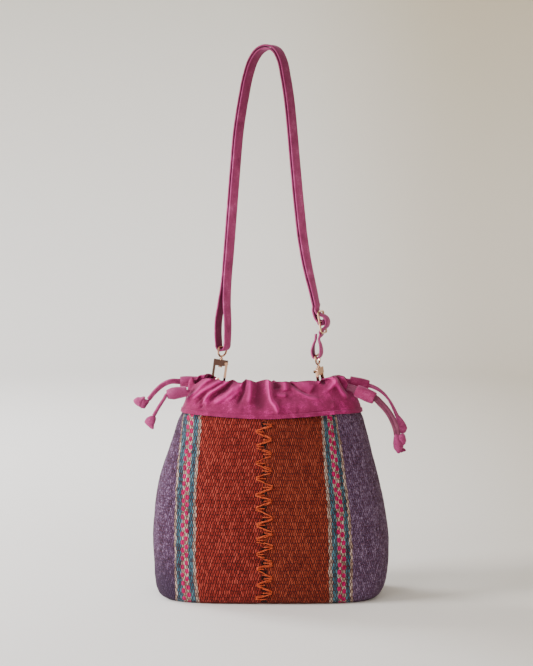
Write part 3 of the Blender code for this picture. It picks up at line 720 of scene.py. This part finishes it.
# share of the way up, z, reach to the left, right, front and back, squareness
BAND = (
    (0.00, 201.5, 99.5, 101, 52.6, 52, 2.3), (0.16, 208.5, 98, 99.6, 50.8, 50, 2.3),
    (0.36, 216.5, 95.2, 97, 45, 44.5, 2.3), (0.56, 224.5, 93.2, 92, 36, 34, 2.3),
    (0.78, 232.5, 91.6, 87.5, 27, 25, 2.4), (0.92, 237.5, 90.2, 84.5, 21, 20, 2.5),
    (1.00, 239.5, 88, 82, 18, 18, 2.5),
)
BAND_RISE = 38.0
FOLD_HEIGHT = 1.5
BACK_DROP = 5.5
# How far the front of the left end sinks below its plain height: x, drop
LEFT_END_DROP = ((-94, 12), (-88, 10), (-82, 6.5), (-76, 3), (-70, 0.6), (-66, 0))
# Height of the top edge over its plain height, along the front: x, rise
TOP_EDGE = (
    (-92, 1), (-76, 3), (-58, 0.5), (-49, -1.2), (-42, 0), (-33.5, -3.6), (-28, 0.6), (-22, 0.2),
    (-17, -2.4), (-10, -0.6), (-3, 1.2), (3, -2.8), (16, -1), (23, -2.6), (32, -1.2), (41, -0.4),
    (52, -1.4), (58, 1.8), (65, 3.8), (73, 4), (81, 1.6), (84, -2),
)
# Height of the lower edge over its plain height, along the front: x, rise
LOWER_EDGE = ((-99, 3), (-74, 2.9), (-37, 1.3), (-3, 0.3), (38, 2.4), (72, 4.4), (100, 3.2))
HEM_HEIGHT = 4.1
# Folds of the front: path of (x, share of the height), height, half width left and right of the path
FOLDS = (
    (((-93, 0.22), (-89.4, 0.52), (-79, 0.76), (-66, 1)), 2.2, 3, 2.4),
    (((-88.5, 0.40), (-74.6, 0.66), (-63.2, 0.83), (-54.9, 1)), 2.4, 2.6, 2),
    (((-77, 0.20), (-75.4, 0.37), (-76.6, 0.48)), -1.6, 1.6, 1.6),
    (((-85, 0.28), (-76, 0.50), (-64, 0.72), (-52, 0.94)), -1.5, 1.2, 1.5),
    (((-80, 0.22), (-72, 0.42), (-62, 0.66), (-50, 0.90)), 1.4, 1.2, 1.2),
    (((-70, 0.28), (-69.7, 0.42), (-67, 0.58), (-58, 0.76), (-47, 1)), 3.2, 3, 2.2),
    (((-66, 0.42), (-61, 0.56), (-52, 0.74), (-42, 1)), -2.4, 2.2, 3.4),
    (((-65.3, 0.36), (-53.5, 0.49), (-43.8, 0.67), (-35.2, 0.86), (-31.5, 1)), 3.2, 4.2, 2.4),
    (((-51, 0.44), (-42.8, 0.53), (-37.1, 0.68), (-33, 0.86)), 1.8, 2.4, 1.8),
    (((-36, 0.34), (-33.8, 0.5), (-30, 0.71), (-28, 1)), -2.6, 2.2, 2.4),
    (((-25, 0.36), (-22.5, 0.6), (-21.9, 1)), 2.4, 3.8, 3.6),
    (((-11, 0.2), (-11.1, 0.6), (-9.5, 1)), -2.4, 7.5, 6),
    (((-2.4, 1), (-1.8, 0.7), (-0.2, 0.5), (4.8, 0.34), (8, 0.12)), 4.6, 2.4, 2.8),
    (((6.2, 1), (6.9, 0.78)), -4.2, 3.6, 4.4),
    (((4.5, 0.67), (10.4, 0.62), (18, 0.60)), 1.8, 2.6, 2.2),
    (((13.5, 1), (16.5, 0.72)), 2.2, 4, 5),
    (((22.4, 0.96), (33, 0.72), (43.5, 0.58)), -2.8, 1.3, 1.6),
    (((23.8, 0.80), (33.6, 0.64), (44, 0.52), (55, 0.47)), 1.9, 1.8, 3),
    (((36, 0.92), (46, 0.74)), 1.6, 6, 6),
    (((56, 0.96), (58.6, 0.90), (60.5, 0.84)), -4.6, 2.2, 2.4),
    (((53.4, 0.99), (62, 1), (69, 0.93), (66, 0.77), (59, 0.66)), 2.8, 2, 2.6),
    (((66, 1), (71, 0.8), (77, 0.60), (83.5, 0.46)), 2.6, 2.2, 2.8),
    (((74, 0.98), (80, 0.78), (87, 0.60)), -2.2, 2, 2.2),
    (((78, 1), (86, 0.76), (92, 0.56), (97, 0.34)), 2, 2.4, 2.4),
    (((68, 0.22), (67, 0.44)), 0.8, 2, 2),
    (((78, 0.20), (76, 0.40)), -0.7, 2, 2),
    (((30, 0.10), (31, 0.34)), -0.5, 2.4, 2.4),
    (((-30, 0.2), (-46, 0.3)), 0.7, 3, 3),
)


def fold_lift(x, share):
    """How far the band stands out, from every fold that passes near."""
    lift = np.zeros_like(x)
    here = np.column_stack([x, share * BAND_RISE])
    for path, height, left_width, right_width in FOLDS:
        line = np.array(path, float) * (1, BAND_RISE)
        line = smooth_line(np.column_stack([line, np.zeros(len(line))]), 0.8)[:, :2]
        reach = 3 * max(left_width, right_width)
        low, high = line.min(0) - reach, line.max(0) + reach
        chosen = np.flatnonzero(((here > low) & (here < high)).all(1))
        if not len(chosen):
            continue
        away = here[chosen][:, None] - line[None]
        distance = np.linalg.norm(away, axis=2)
        nearest = distance.argmin(1)
        pick = np.arange(len(chosen))
        way = unit(np.gradient(line, axis=0))[nearest]
        gap = away[pick, nearest]
        sidewise = way[:, 0] * gap[:, 1] - way[:, 1] * gap[:, 0]
        sidewise = np.where(way[:, 1] < 0, -sidewise, sidewise)
        width = np.where(sidewise > 0, left_width, right_width)
        run = nearest / (len(line) - 1)
        short = line[:, 1].max() <= 0.9 * BAND_RISE
        rising = line[0, 1] < line[-1, 1]
        fade = np.ones(len(run))
        if short or rising:
            fade *= soft_step(0.25 + run * 3)
        if short or not rising:
            fade *= soft_step(0.25 + (1 - run) * 3)
        lift[chosen] += height * np.exp(-((distance[pick, nearest] / width) ** 2)) * fade
    return lift


def hem_relief(above):
    """The turned and topstitched hem along the lower edge."""
    strip = 0.7 * soft_step((HEM_HEIGHT - above) / 0.8)
    return strip - 0.7 * bump_at(above - HEM_HEIGHT - 0.5, 0.55) - 0.25 * bump_at(above - 6.2, 0.5)


def along_table(x, table):
    return np.interp(x, *np.array(table, float).T)


def band_rings():
    """Rings of the band from its lower edge over the rim and down the inside."""
    angles = np.linspace(-math.pi / 2, 3 * math.pi / 2, 1441)[:-1]
    outer = [(share, 0.0, 0.0) for share in np.concatenate([
        np.linspace(0, 0.2, 20), np.linspace(0.22, 1.0, 44)])]
    rim = [(1.0, 0.5, 0.75), (1.0, 1.3, 1.0), (1.0, 2.2, 0.7), (1.0, 2.7, -0.2)]
    inner = [(share, 2.7, 0.0) for share in (0.95, 0.85, 0.7, 0.5, 0.3, 0.15)]
    rings, uv, stands = [], [], []
    for share, inset, lift_up in outer + rim + inner:
        z, left, right, front, back, squareness = eased(BAND, share)[0]
        flat = outline(left, right, front, back, squareness, angles)
        flat = evenly_spaced(np.vstack([flat, flat[:1]]), BAND_COLUMNS + 1)[:-1]
        outward = unit(np.column_stack([
            np.roll(flat[:, 1], -1) - np.roll(flat[:, 1], 1),
            np.roll(flat[:, 0], 1) - np.roll(flat[:, 0], -1),
        ]))
        along = np.where(flat[:, 1] < 0, flat[:, 0], -flat[:, 0])
        near_face = soft_step(1.6 * np.abs(flat[:, 1]) / max(front, 1))
        lift = fold_lift(along, np.full(BAND_COLUMNS, share)) * near_face * FOLD_HEIGHT
        rise = along_table(along, TOP_EDGE)
        front_side = soft_step((-1 - flat[:, 1]) / 7)
        rise -= along_table(flat[:, 0], LEFT_END_DROP) * front_side
        middle = soft_step((72 - np.abs(flat[:, 0])) / 20)
        rise -= BACK_DROP * middle * soft_step(flat[:, 1] / 6)
        top = soft_step((share - 0.3) / 0.7) * rise
        lower = along_table(along, LOWER_EDGE)
        height = z + top + lower * soft_step(1 - share / 0.3)
        if inset == 0:
            lift = lift + hem_relief(height - (BAND[0][1] + lower))
        flat = flat + outward * (lift - inset)[:, None]
        # Painted light for the band: highlight on the ridges, shade in the hollows, and a little shade all
        # over the inside
        stands.append(np.clip(lift / 4, -1, 1) if inset == 0 else np.full(BAND_COLUMNS, -0.2))
        rings.append(np.column_stack([flat, height + lift_up]))
        uv.append(np.column_stack([np.arange(BAND_COLUMNS) * 0.8, height]))
    return rings, uv, np.concatenate(stands)


def suede_band():
    rings, uv, stands = band_rings()
    points = np.vstack(rings)
    points = points + 0.25 * wavering(points, 9, 5)[:, None] * unit(points * (1, 1, 0) + 1e-6)
    faces = ring_loop(len(rings), BAND_COLUMNS)
    band = add_mesh("suede_band", points, faces, band_suede, np.vstack(uv))
    set_fold_light(band, stands)
    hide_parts("band")


suede_band()


# Strap

STRAP_WIDTH = 14.5
STRAP_THICKNESS = 2.1
STRAP_CORNER = 0.8
STITCH_GROOVE = 0.16
STITCH_INSET = 1.9
STRAP_STEP = 4.0
TIGHT_STEP = 1.0
STRAP_TOP = (-3.0, 603.5)
STRAP_SWING = (330, 560)
STRAP_MIDLINE = (
    (-53.2, 278, 28, 5.4), (-53.2, 290, 29, 6.2), (-52.9, 304, 30, 6), (-51.8, 322, 32, 3.8),
    (-49.8, 343, 34, 1.9), (-46.5, 382.4, 35, 1.6), (-43.3, 425.2, 35, 1.6), (-40.1, 466.7, 35, 1.6),
    (-35.4, 518, 35, 1.6), (-30.2, 550, 35, 1.6), (-24.9, 575, 35, 1.6), (-19.4, 590.5, 35, 1.6),
    (-12, 600.3, 35, 1.6), (-3, 603.5, 35, 1.6), (6, 599.6, 35, 1.6), (11.8, 588.6, 35, 1.6),
    (15.6, 571, 35, 1.6), (19.6, 545, 35, 1.6), (22.8, 513.5, 35, 1.6), (26.3, 474, 35, 1.6),
    (30.2, 434, 35, 1.6), (35, 393, 34, 1.6), (40.5, 362, 30, 1.6), (46, 338.5, 24, 1.6),
    (49.6, 321.5, 20, 1.6),
)
SLIDER_HEIGHT_Z = 303.0
SLIDER_X = 56.4
SLIDER_TURN = 20
OUTER_AT_SLIDER = (
    (-3.4, 13), (-2.6, 10), (-0.2, 8), (2.9, 6.6), (5.3, 4.2), (6.4, 0),
    (5.3, -4.2), (2.9, -6.6), (-0.2, -8), (-2.6, -10), (-3.2, -13),
)
INNER_AT_SLIDER = ((-6.5, 13), (-6.2, 8), (-4.8, 3.4))
INNER_WRAP_RADIUS = 2.95
INNER_WRAP = (170, 205, 240, 275, 310, 345, 380, 410)
LOOP_AT_RIGHT_HOOK = (
    (53, 284.5, 6), (54.8, 277, 10), (55.4, 270.5, 15), (55, 267, 15), (53.4, 264.1, 15),
    (50.8, 262.9, 15), (48.2, 264.1, 15), (46.6, 267, 15), (46.1, 270.5, 15), (46.9, 277, 10),
    (49.3, 284, 6), (49.5, 289.5, 6),
)


def width_direction(turns):
    angles = np.radians(turns)
    return np.stack([np.sin(angles), np.cos(angles), np.zeros_like(angles)], 1)


def strap_frames(line, turns):
    along = unit(np.gradient(line, axis=0))
    across = width_direction(turns)
    across = unit(across - along * np.sum(across * along, axis=1, keepdims=True))
    return along, across, np.cross(along, across)


def strap_midline():
    table = np.array(STRAP_MIDLINE, float)
    swing = soft_step((table[:, 1] - STRAP_SWING[0]) / (STRAP_SWING[1] - STRAP_SWING[0]))
    y = -np.tan(np.radians(table[:, 2])) * (table[:, 0] - STRAP_TOP[0]) * swing
    return smooth_line(np.column_stack([table[:, 0], y, table[:, 1:]]), STRAP_STEP)


def slider_axes():
    across = width_direction(np.array([SLIDER_TURN]))[0]
    lean = math.radians(10)
    out = np.array([across[1], -across[0], 0])
    up = np.array([0, 0, 1]) * math.cos(lean) - out * math.sin(lean)
    return unit(np.cross(across, up)), across, up


def at_slider(places):
    out, _, up = slider_axes()
    centre = np.array([SLIDER_X, 0, SLIDER_HEIGHT_Z])
    return np.array([[*(centre + n * out + t * up), SLIDER_TURN] for n, t in places])


def strap_line():
    """The whole ribbon: right loop, slider, over the top, left hook and back to the slider."""
    middle = strap_midline()
    line, turns, half = middle[:, :3], middle[:, 3], middle[:, 4:]
    along, _, out = strap_frames(line, turns)
    outer = np.column_stack([line + out * half, turns])
    inner = np.column_stack([line - out * half, turns])
    fold = []
    for angle in np.radians(np.linspace(0, 180, 19))[1:-1]:
        reach = half[0] * (out[0] * math.cos(angle) - 1.15 * along[0] * math.sin(angle))
        fold.append([*(line[0] + reach), turns[0]])
    loop = np.array([[x, 0, z, turn] for x, z, turn in LOOP_AT_RIGHT_HOOK])[::-1]
    wrap = [
        (INNER_WRAP_RADIUS * math.cos(math.radians(a)), INNER_WRAP_RADIUS * math.sin(math.radians(a)))
        for a in INNER_WRAP
    ]
    start = smooth_line(np.vstack([loop, at_slider(OUTER_AT_SLIDER)[::-1], outer[-1:]]), TIGHT_STEP)
    end = smooth_line(np.vstack([inner[-1:], at_slider(INNER_AT_SLIDER + tuple(wrap))]), TIGHT_STEP)
    return np.vstack([start[:-1], outer[::-1], np.array(fold), inner, end[1:]])


def strap_section():
    """The folded strap's cross-section: rounded edges and a stitch line near each."""
    half, deep = STRAP_WIDTH / 2, STRAP_THICKNESS / 2
    stitch = half - STITCH_INSET
    quarter = [
        (half, 0.0), (half - 0.22 * STRAP_CORNER, deep * 0.62), (half - STRAP_CORNER, deep),
        (stitch + 0.5, deep), (stitch, deep - STITCH_GROOVE), (stitch - 0.5, deep),
        (half * 0.3, deep + 0.12),
    ]
    top = quarter + [(-x, y) for x, y in reversed(quarter)]
    bottom = [(x, -y) for x, y in reversed(top[1:-1])]
    return np.array(top + bottom)


def strip(line, across, out, section):
    """A strip of suede whose cross-section follows the line."""
    rings = [p + a * section[:, :1] + o * section[:, 1:] for p, a, o in zip(line, across, out)]
    return closed_ends(np.vstack(rings), len(line), len(section))


def shoulder_strap():
    table = strap_line()
    line, section = table[:, :3], strap_section()
    _, across, out = strap_frames(line, table[:, 3])
    strap = closed_piece("shoulder_strap", *strip(line, across, out, section), strap_suede)
    # Painted shade on the inner face, where the two layers of the strap meet
    inner_side_shade = np.where(section[:, 1] > 0.8, -1.0, 0.0)
    set_fold_light(strap, np.concatenate([np.tile(inner_side_shade, len(line)), (0.0, 0.0)]))
    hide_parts("strap")


shoulder_strap()


# Drawstring ends: flat laces, each through a sleeve to its knot

LACE_STEP = 1.5
SLEEVE_LENGTH = 22
SLEEVE_WALL = 1.3
SLEEVE_SIDES = 32
# Share of the length, share of the radius, and how much of the wall lies outside it
SLEEVE_PROFILE = (
    (0.0, 0.93, 0), (0.02, 0.98, 0), (0.10, 1.0, 0), (0.3, 1.02, 0), (0.5, 1.045, 0), (0.7, 1.03, 0),
    (0.9, 1.0, 0), (0.98, 0.965, 0), (1.0, 0.9, 0), (0.995, 0.87, 0.7), (0.9, 0.9, 1),
    (0.5, 0.95, 1), (0.1, 0.9, 1), (0.005, 0.88, 0.7),
)
# Each sleeve: radius, how much it widens along its length, how far its end closes, and its shift
SLEEVES = {
    "front_left": (6.4, 0.10, 0.26, (0, 0, 0)), "back_left": (6.1, 0.02, 0.05, (0, 0, 0)),
    "front_right": (6.9, 0.03, 0.05, (1.8, -1.0, -1.4)), "back_right": (6.5, 0.02, 0.05, (-1.0, 0, 0)),
}
TAILS = {
    "front_left": ((-89.5, -14.4, 228.2), (-92.6, -15, 227.8), (-113.5, -18.5, 225),
     (-116.8, -19.2, 220.6), (-121, -19.9, 214.4), (-124.8, -20.5, 208.2), (-128.6, -21, 201.6)),
    "back_left": ((-75.2, 21.6, 233.8), (-79.8, 23.4, 234.2), (-101.5, 21, 234.6), (-111, 20, 235),
     (-120, 19.2, 231.6), (-128.5, 18.6, 224.6), (-136.8, 18, 214.8)),
    "front_right": ((83.6, -17.3, 232.9), (91.5, -19.2, 230.6), (112.6, -24.5, 222), (120, -26, 215.5),
     (127.5, -27.5, 207), (133, -28.5, 197.5), (136.6, -29.2, 187.5), (138.2, -29.5, 178.2)),
    "back_right": ((82.6, 14.5, 235.8), (88.5, 14.5, 235.2), (110, 14, 230.6), (118.5, 13.8, 227.2),
     (126, 13.6, 221.6), (132.5, 13.4, 213.5), (138, 13.2, 203), (142.6, 13, 192.6)),
}
# Each lace: width, thickness, and how its flat side turns from the band to the knot
LACES = {
    "front_left": (6.8, 2.7, (80, 78, 75, 70)),
    "back_left": (6.8, 2.7, (20, 24, 40, 58)),
    "front_right": (7.6, 2.7, (10, 0, -8, -12)),
    "back_right": (6.8, 2.4, (30, 62, 84, 60)),
}


def tail_line(route):
    start, end = np.array(route[1], float), np.array(route[2], float)
    inside = [start + (end - start) * share for share in (0, 0.12, 0.5, 0.9, 1.04)]
    line = smooth_line([route[0], *inside, *route[3:]], LACE_STEP)
    length = np.linalg.norm(np.diff(line, axis=0), axis=1).sum()
    return evenly_spaced(line, round(length / LACE_STEP) + 1), length


def lace_frames(line, turns):
    """Directions across a lace and out of its flat side, at each point of its line."""
    along = unit(np.gradient(line, axis=0))
    flat = unit(np.cross(along, np.array([0.0, 1.0, 0.0])))
    deep = np.cross(flat, along)
    shares = np.linspace(0, 1, len(turns))
    angles = np.radians(np.interp(np.linspace(0, 1, len(line)), shares, turns))[:, None]
    across = flat * np.cos(angles) + deep * np.sin(angles)
    return across, np.cross(along, across)


def lace_section(width, thickness):
    """A strip folded in half along its length: its two edges meet on one side."""
    half, deep = width / 2, thickness / 2
    return np.array([
        (half, 0), (half * 0.93, deep * 0.66), (half * 0.78, deep), (half * 0.45, deep * 1.02),
        (0.5, deep * 0.92), (0.0, deep * 0.5), (-0.5, deep * 0.92), (-half * 0.45, deep * 1.02),
        (-half * 0.78, deep), (-half * 0.93, deep * 0.66), (-half, 0), (-half * 0.93, -deep * 0.66),
        (-half * 0.78, -deep), (0.0, -deep * 0.96), (half * 0.78, -deep), (half * 0.93, -deep * 0.66),
    ])


def sleeve(name, start, end, surface, shape):
    """A short turned tube of suede with a wall, open at both ends."""
    radius, flare, closing, shift = shape
    start, end = np.add(start, shift), np.add(end, shift)
    way = unit(end - start)
    up = unit(np.array([0, 0, 1.0]) - way * way[2])
    side = np.cross(way, up)
    angles = np.linspace(0, 2 * math.pi, SLEEVE_SIDES, endpoint=False)
    lumps = 1 + 0.02 * np.sin(3 * angles + 1) - 0.07 * bump_at(np.sin((angles - 4.2) / 2), 0.09)
    rings = []
    for share, wide, depth in SLEEVE_PROFILE:
        wide *= (1 + flare * (2 * share - 1)) * (1 - closing * soft_step((share - 0.72) / 0.28))
        reach = (radius * wide - SLEEVE_WALL * depth) * lumps
        centre = start + way * SLEEVE_LENGTH * share
        rings.append(centre + np.outer(reach * np.cos(angles), side) + np.outer(reach * np.sin(angles), up))
    faces = ring_loop(len(rings), SLEEVE_SIDES)
    tube_piece = closed_piece(f"turned_{name}", np.vstack(rings), faces, surface)
    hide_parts(name)
    return tube_piece


# Each knot as soft pads of lace: outline seen from the front, half depth, and its painted light, shade below
# 0 and highlight above
KNOTS = {
    "front_left": (
        (((-133.7, 201), (-129.7, 202.2), (-126.4, 200.6), (-125.8, 198), (-127.3, 193), (-128.5, 190),
         (-128.1, 187.2), (-129.8, 186.2), (-132.5, 187.6), (-135.8, 190.6), (-138.7, 193.7),
         (-139, 195.7), (-136.8, 199.3)), 5, 0),
        (((-129.5, 201), (-126.2, 200), (-126.4, 196), (-128.6, 190), (-128.2, 187.4), (-130.4, 189),
         (-129.2, 195)), 4.6, -0.45),
    ),
    "back_left": (
        (((-154.4, 213.6), (-152.6, 215.7), (-149.1, 217.8), (-145.4, 217.4), (-141.3, 218.8),
         (-140.2, 216.3), (-142.6, 213.9), (-144.1, 209.8), (-145.8, 205.2), (-149.4, 207.4),
         (-152.8, 210.3)), 4.4, 0.5),
        (((-144.1, 215.7), (-139.7, 215.1), (-134.9, 214.3), (-136.6, 210.9), (-139.2, 207.1),
         (-140.9, 204.3), (-143.5, 204.6), (-146.6, 205.4), (-145.9, 209.2), (-144.8, 212.6)), 5.2, -0.4),
    ),
    "front_right": (
        (((136.7, 179.3), (139.8, 181.9), (142.2, 183.1), (145.8, 182.8), (147.3, 178.3), (147.9, 174.7),
         (146.5, 171.2), (144.3, 169.3), (142.4, 171.9), (140.3, 173.5), (137.1, 174.9)), 4.6, 0.2),
        (((134.4, 182.6), (138.6, 182.6), (142.4, 175.6), (144.9, 170.5), (144.7, 168.1), (142.5, 163.5),
         (140.3, 160.8), (138, 161.2), (136.6, 163.5), (134.4, 165.5), (133.4, 168.7), (133.2, 173.9)),
         5.2, -0.15),
        (((141.3, 165.2), (144.1, 168.1), (148.2, 164.8), (146.2, 163.4), (141.3, 161.5)), 2.2, -0.5),
    ),
    "back_right": (
        (((138.8, 198.2), (143.4, 197.6), (149.4, 190.2), (151, 186.4), (146, 185), (139.6, 187.4)), 3.6,
         0.1),
        (((138.6, 189.4), (146.7, 189.8), (150.8, 188.2), (151.6, 184.2), (146.7, 182.6), (139.6, 184)),
         4.4, -0.2),
        (((139, 185.8), (147.3, 186.2), (151.6, 185.8), (152.4, 182.2), (150.6, 180.1), (146, 180.1),
         (139.7, 181.4)), 4.8, 0.1),
        (((139.8, 182.9), (147.9, 183.5), (152, 182.6), (150.7, 178.7), (148.3, 177), (144, 177.3),
         (140.1, 179)), 4.2, -0.3),
    ),
}
PAD_SIDES = 48


def knot_pad(corners, depth, centre_y):
    """A soft pad with the given outline seen from the front, rounded off towards front and back."""
    line = np.array(corners, float)
    for _ in range(2):
        after = np.roll(line, -1, axis=0)
        line = np.stack([line * 0.8 + after * 0.2, line * 0.2 + after * 0.8], 1).reshape(-1, 2)
    flat = evenly_spaced(np.vstack([line, line[:1]]), PAD_SIDES + 1)[:-1]
    middle = flat.mean(0)
    rings = []
    for level in np.linspace(-0.98, 0.98, 13):
        share = (1 - abs(level) ** 2.2) ** (1 / 2.2)
        x, z = (middle + (flat - middle) * share).T
        rings.append(np.column_stack([x, np.full(PAD_SIDES, centre_y + depth * level), z]))
    points, faces = closed_ends(np.vstack(rings), len(rings), PAD_SIDES)
    return points + 0.3 * wavering(points, 2.6, 4)[:, None] * unit(points - points.mean(0)), faces


def tied_knot(place, centre_y):
    pads = [knot_pad(corners, depth, centre_y) for corners, depth, _ in KNOTS[place]]
    points, faces = joined(pads)
    knot = closed_piece(f"tied_knot_{place}", points, faces, knot_suede)
    shades = [np.full(len(pad[0]), shade) for pad, (_, _, shade) in zip(pads, KNOTS[place])]
    set_fold_light(knot, np.concatenate(shades))
    return knot


def drawstring_end(place, route):
    line, length = tail_line(route)
    width, thickness, turns = LACES[place]
    across, out = lace_frames(line, turns)
    points, faces = strip(line, across, out, lace_section(width, thickness))
    # The front right lace gets the darker copy: painted shade
    surface = shaded_suede if place == "front_right" else cord_suede
    lace = closed_piece(f"lace_{place}", points, faces, surface)
    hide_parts(f"drawstring_{place}")
    sleeve_suede = rose_suede if place.endswith("right") else cord_suede
    tube_piece = sleeve(f"sleeve_{place}", route[1], route[2], sleeve_suede, SLEEVES[place])
    bead = tied_knot(place, line[-1][1])
    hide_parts(f"knot_{place}")


for place, route in TAILS.items():
    drawstring_end(place, route)


# Gold fittings

def gold(name, colour):
    made, _, shader, _ = new_material(name, 0.12, metallic=1.0)
    shader.inputs["Base Color"].default_value = colour
    return made


pale_gold = gold("pale_gold", screen(200, 156, 128))
# A darker copy of the gold for the left hook: painted dark reflections
gold_with_painted_dark_reflection = gold("gold_with_painted_dark_reflection", screen(96, 70, 62))
for name in (
    "slider", "eye_left", "eye_right", "hook_left", "hook_right", "gate_left", "gate_right",
    "ring_left", "ring_right",
):
    fitting = frame["nodes"][name]
    fitting.data.materials.clear()
    fitting.data.materials.append(gold_with_painted_dark_reflection if name == "hook_left" else pale_gold)


def ring_tab(side):
    """The folded strip inside the mouth, softened at its edges."""
    node = f"tab_{side}"
    mesh = frame["nodes"][node].data.copy()
    mesh.materials.clear()
    mesh.materials.append(cord_suede)
    tab = add_object(f"ring_strip_{side}", mesh)
    rounded = tab.modifiers.new("Rounded edges", "BEVEL")
    rounded.width = 0.5 * MM
    rounded.segments = 3
    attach(tab, "bag")
    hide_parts(node)


ring_tab("left")
ring_tab("right")


# Floor, backdrop and lights

def backdrop():
    """A floor that curves up into a low plain wall all round, with light and shade painted on its paper."""
    flat_reach, radius, wall_top = 2.3, 0.9, 2.2
    profile = [(0.0, 0.0), (1.0, 0.0), (flat_reach, 0.0)]
    for angle in np.radians(np.linspace(0, 90, 19))[1:]:
        profile.append((flat_reach + radius * math.sin(angle), radius - radius * math.cos(angle)))
    profile.append((flat_reach + radius, wall_top))
    sides = 96
    turns = np.linspace(0, 2 * math.pi, sides, endpoint=False)
    points = [(reach * math.cos(a), reach * math.sin(a), height) for reach, height in profile for a in turns]
    made, tree, shader, place = new_material("paper", 0.95)
    x, _, z = parts_of(tree, place.outputs["Object"])
    # Painted light on the paper: lighter low and to the left, darker and warmer up and to the right
    rise = z.ramp(-0.2, 1.9)
    left = rise.pick(screen(246, 244, 243), screen(172, 168, 150))
    right = rise.pick(screen(212, 205, 193), screen(166, 153, 120))
    colour = x.ramp(-0.12, 0.62).pick(left, right)
    paint(tree, shader, colour)
    mesh = bpy.data.meshes.new("backdrop")
    mesh.from_pydata(points, [], grid_faces(len(profile), sides, closed=True))
    mesh.materials.append(made)
    mesh.shade_smooth()
    sweep = add_object("backdrop", mesh)


def area_light(name, place, target, size, power, colour):
    lamp = bpy.data.lights.new(name, "AREA")
    lamp.shape = "RECTANGLE"
    lamp.size, lamp.size_y = size
    lamp.energy = power
    lamp.color = colour
    made = add_object(name, lamp)
    made.location = place
    way = Vector(target) - Vector(place)
    made.rotation_euler = way.to_track_quat("-Z", "Y").to_euler()


def world():
    sky = bpy.data.worlds.new("studio")
    sky.use_nodes = True
    back = sky.node_tree.nodes["Background"]
    back.inputs["Color"].default_value = (1.0, 0.94, 0.83, 1)
    back.inputs["Strength"].default_value = 0.5
    bpy.context.scene.world = sky


backdrop()
# Each light: place, what it looks at, size, power and colour
LIGHTS = {
    "key": ((-2.25, -0.6, 1.05), (0.0, 0.0, 0.2), (0.75, 1.0), 90, (1.0, 0.985, 0.985)),
    "front_fill": ((0.9, -2.5, 1.2), (0.0, 0.0, 0.2), (1.6, 1.2), 17, (1.0, 0.975, 0.98)),
    "floor_left": ((-2.1, 1.2, 1.3), (-0.6, 0.5, 0.0), (0.9, 0.9), 48, (0.97, 0.98, 1.0)),
    "backdrop_light": ((-0.9, 0.8, 1.75), (-0.7, 3.0, 0.0), (0.9, 0.7), 30, (0.97, 0.98, 1.0)),
    "floor_front": ((-1.3, -2.0, 1.5), (-0.5, -0.9, 0.0), (0.7, 0.7), 12, (0.98, 0.98, 1.0)),
    "back_fill": ((1.3, 2.4, 1.5), (0.0, 0.0, 0.3), (1.2, 1.0), 8, (1.0, 0.97, 0.93)),
}
for name, light in LIGHTS.items():
    area_light(name, *light)
world()
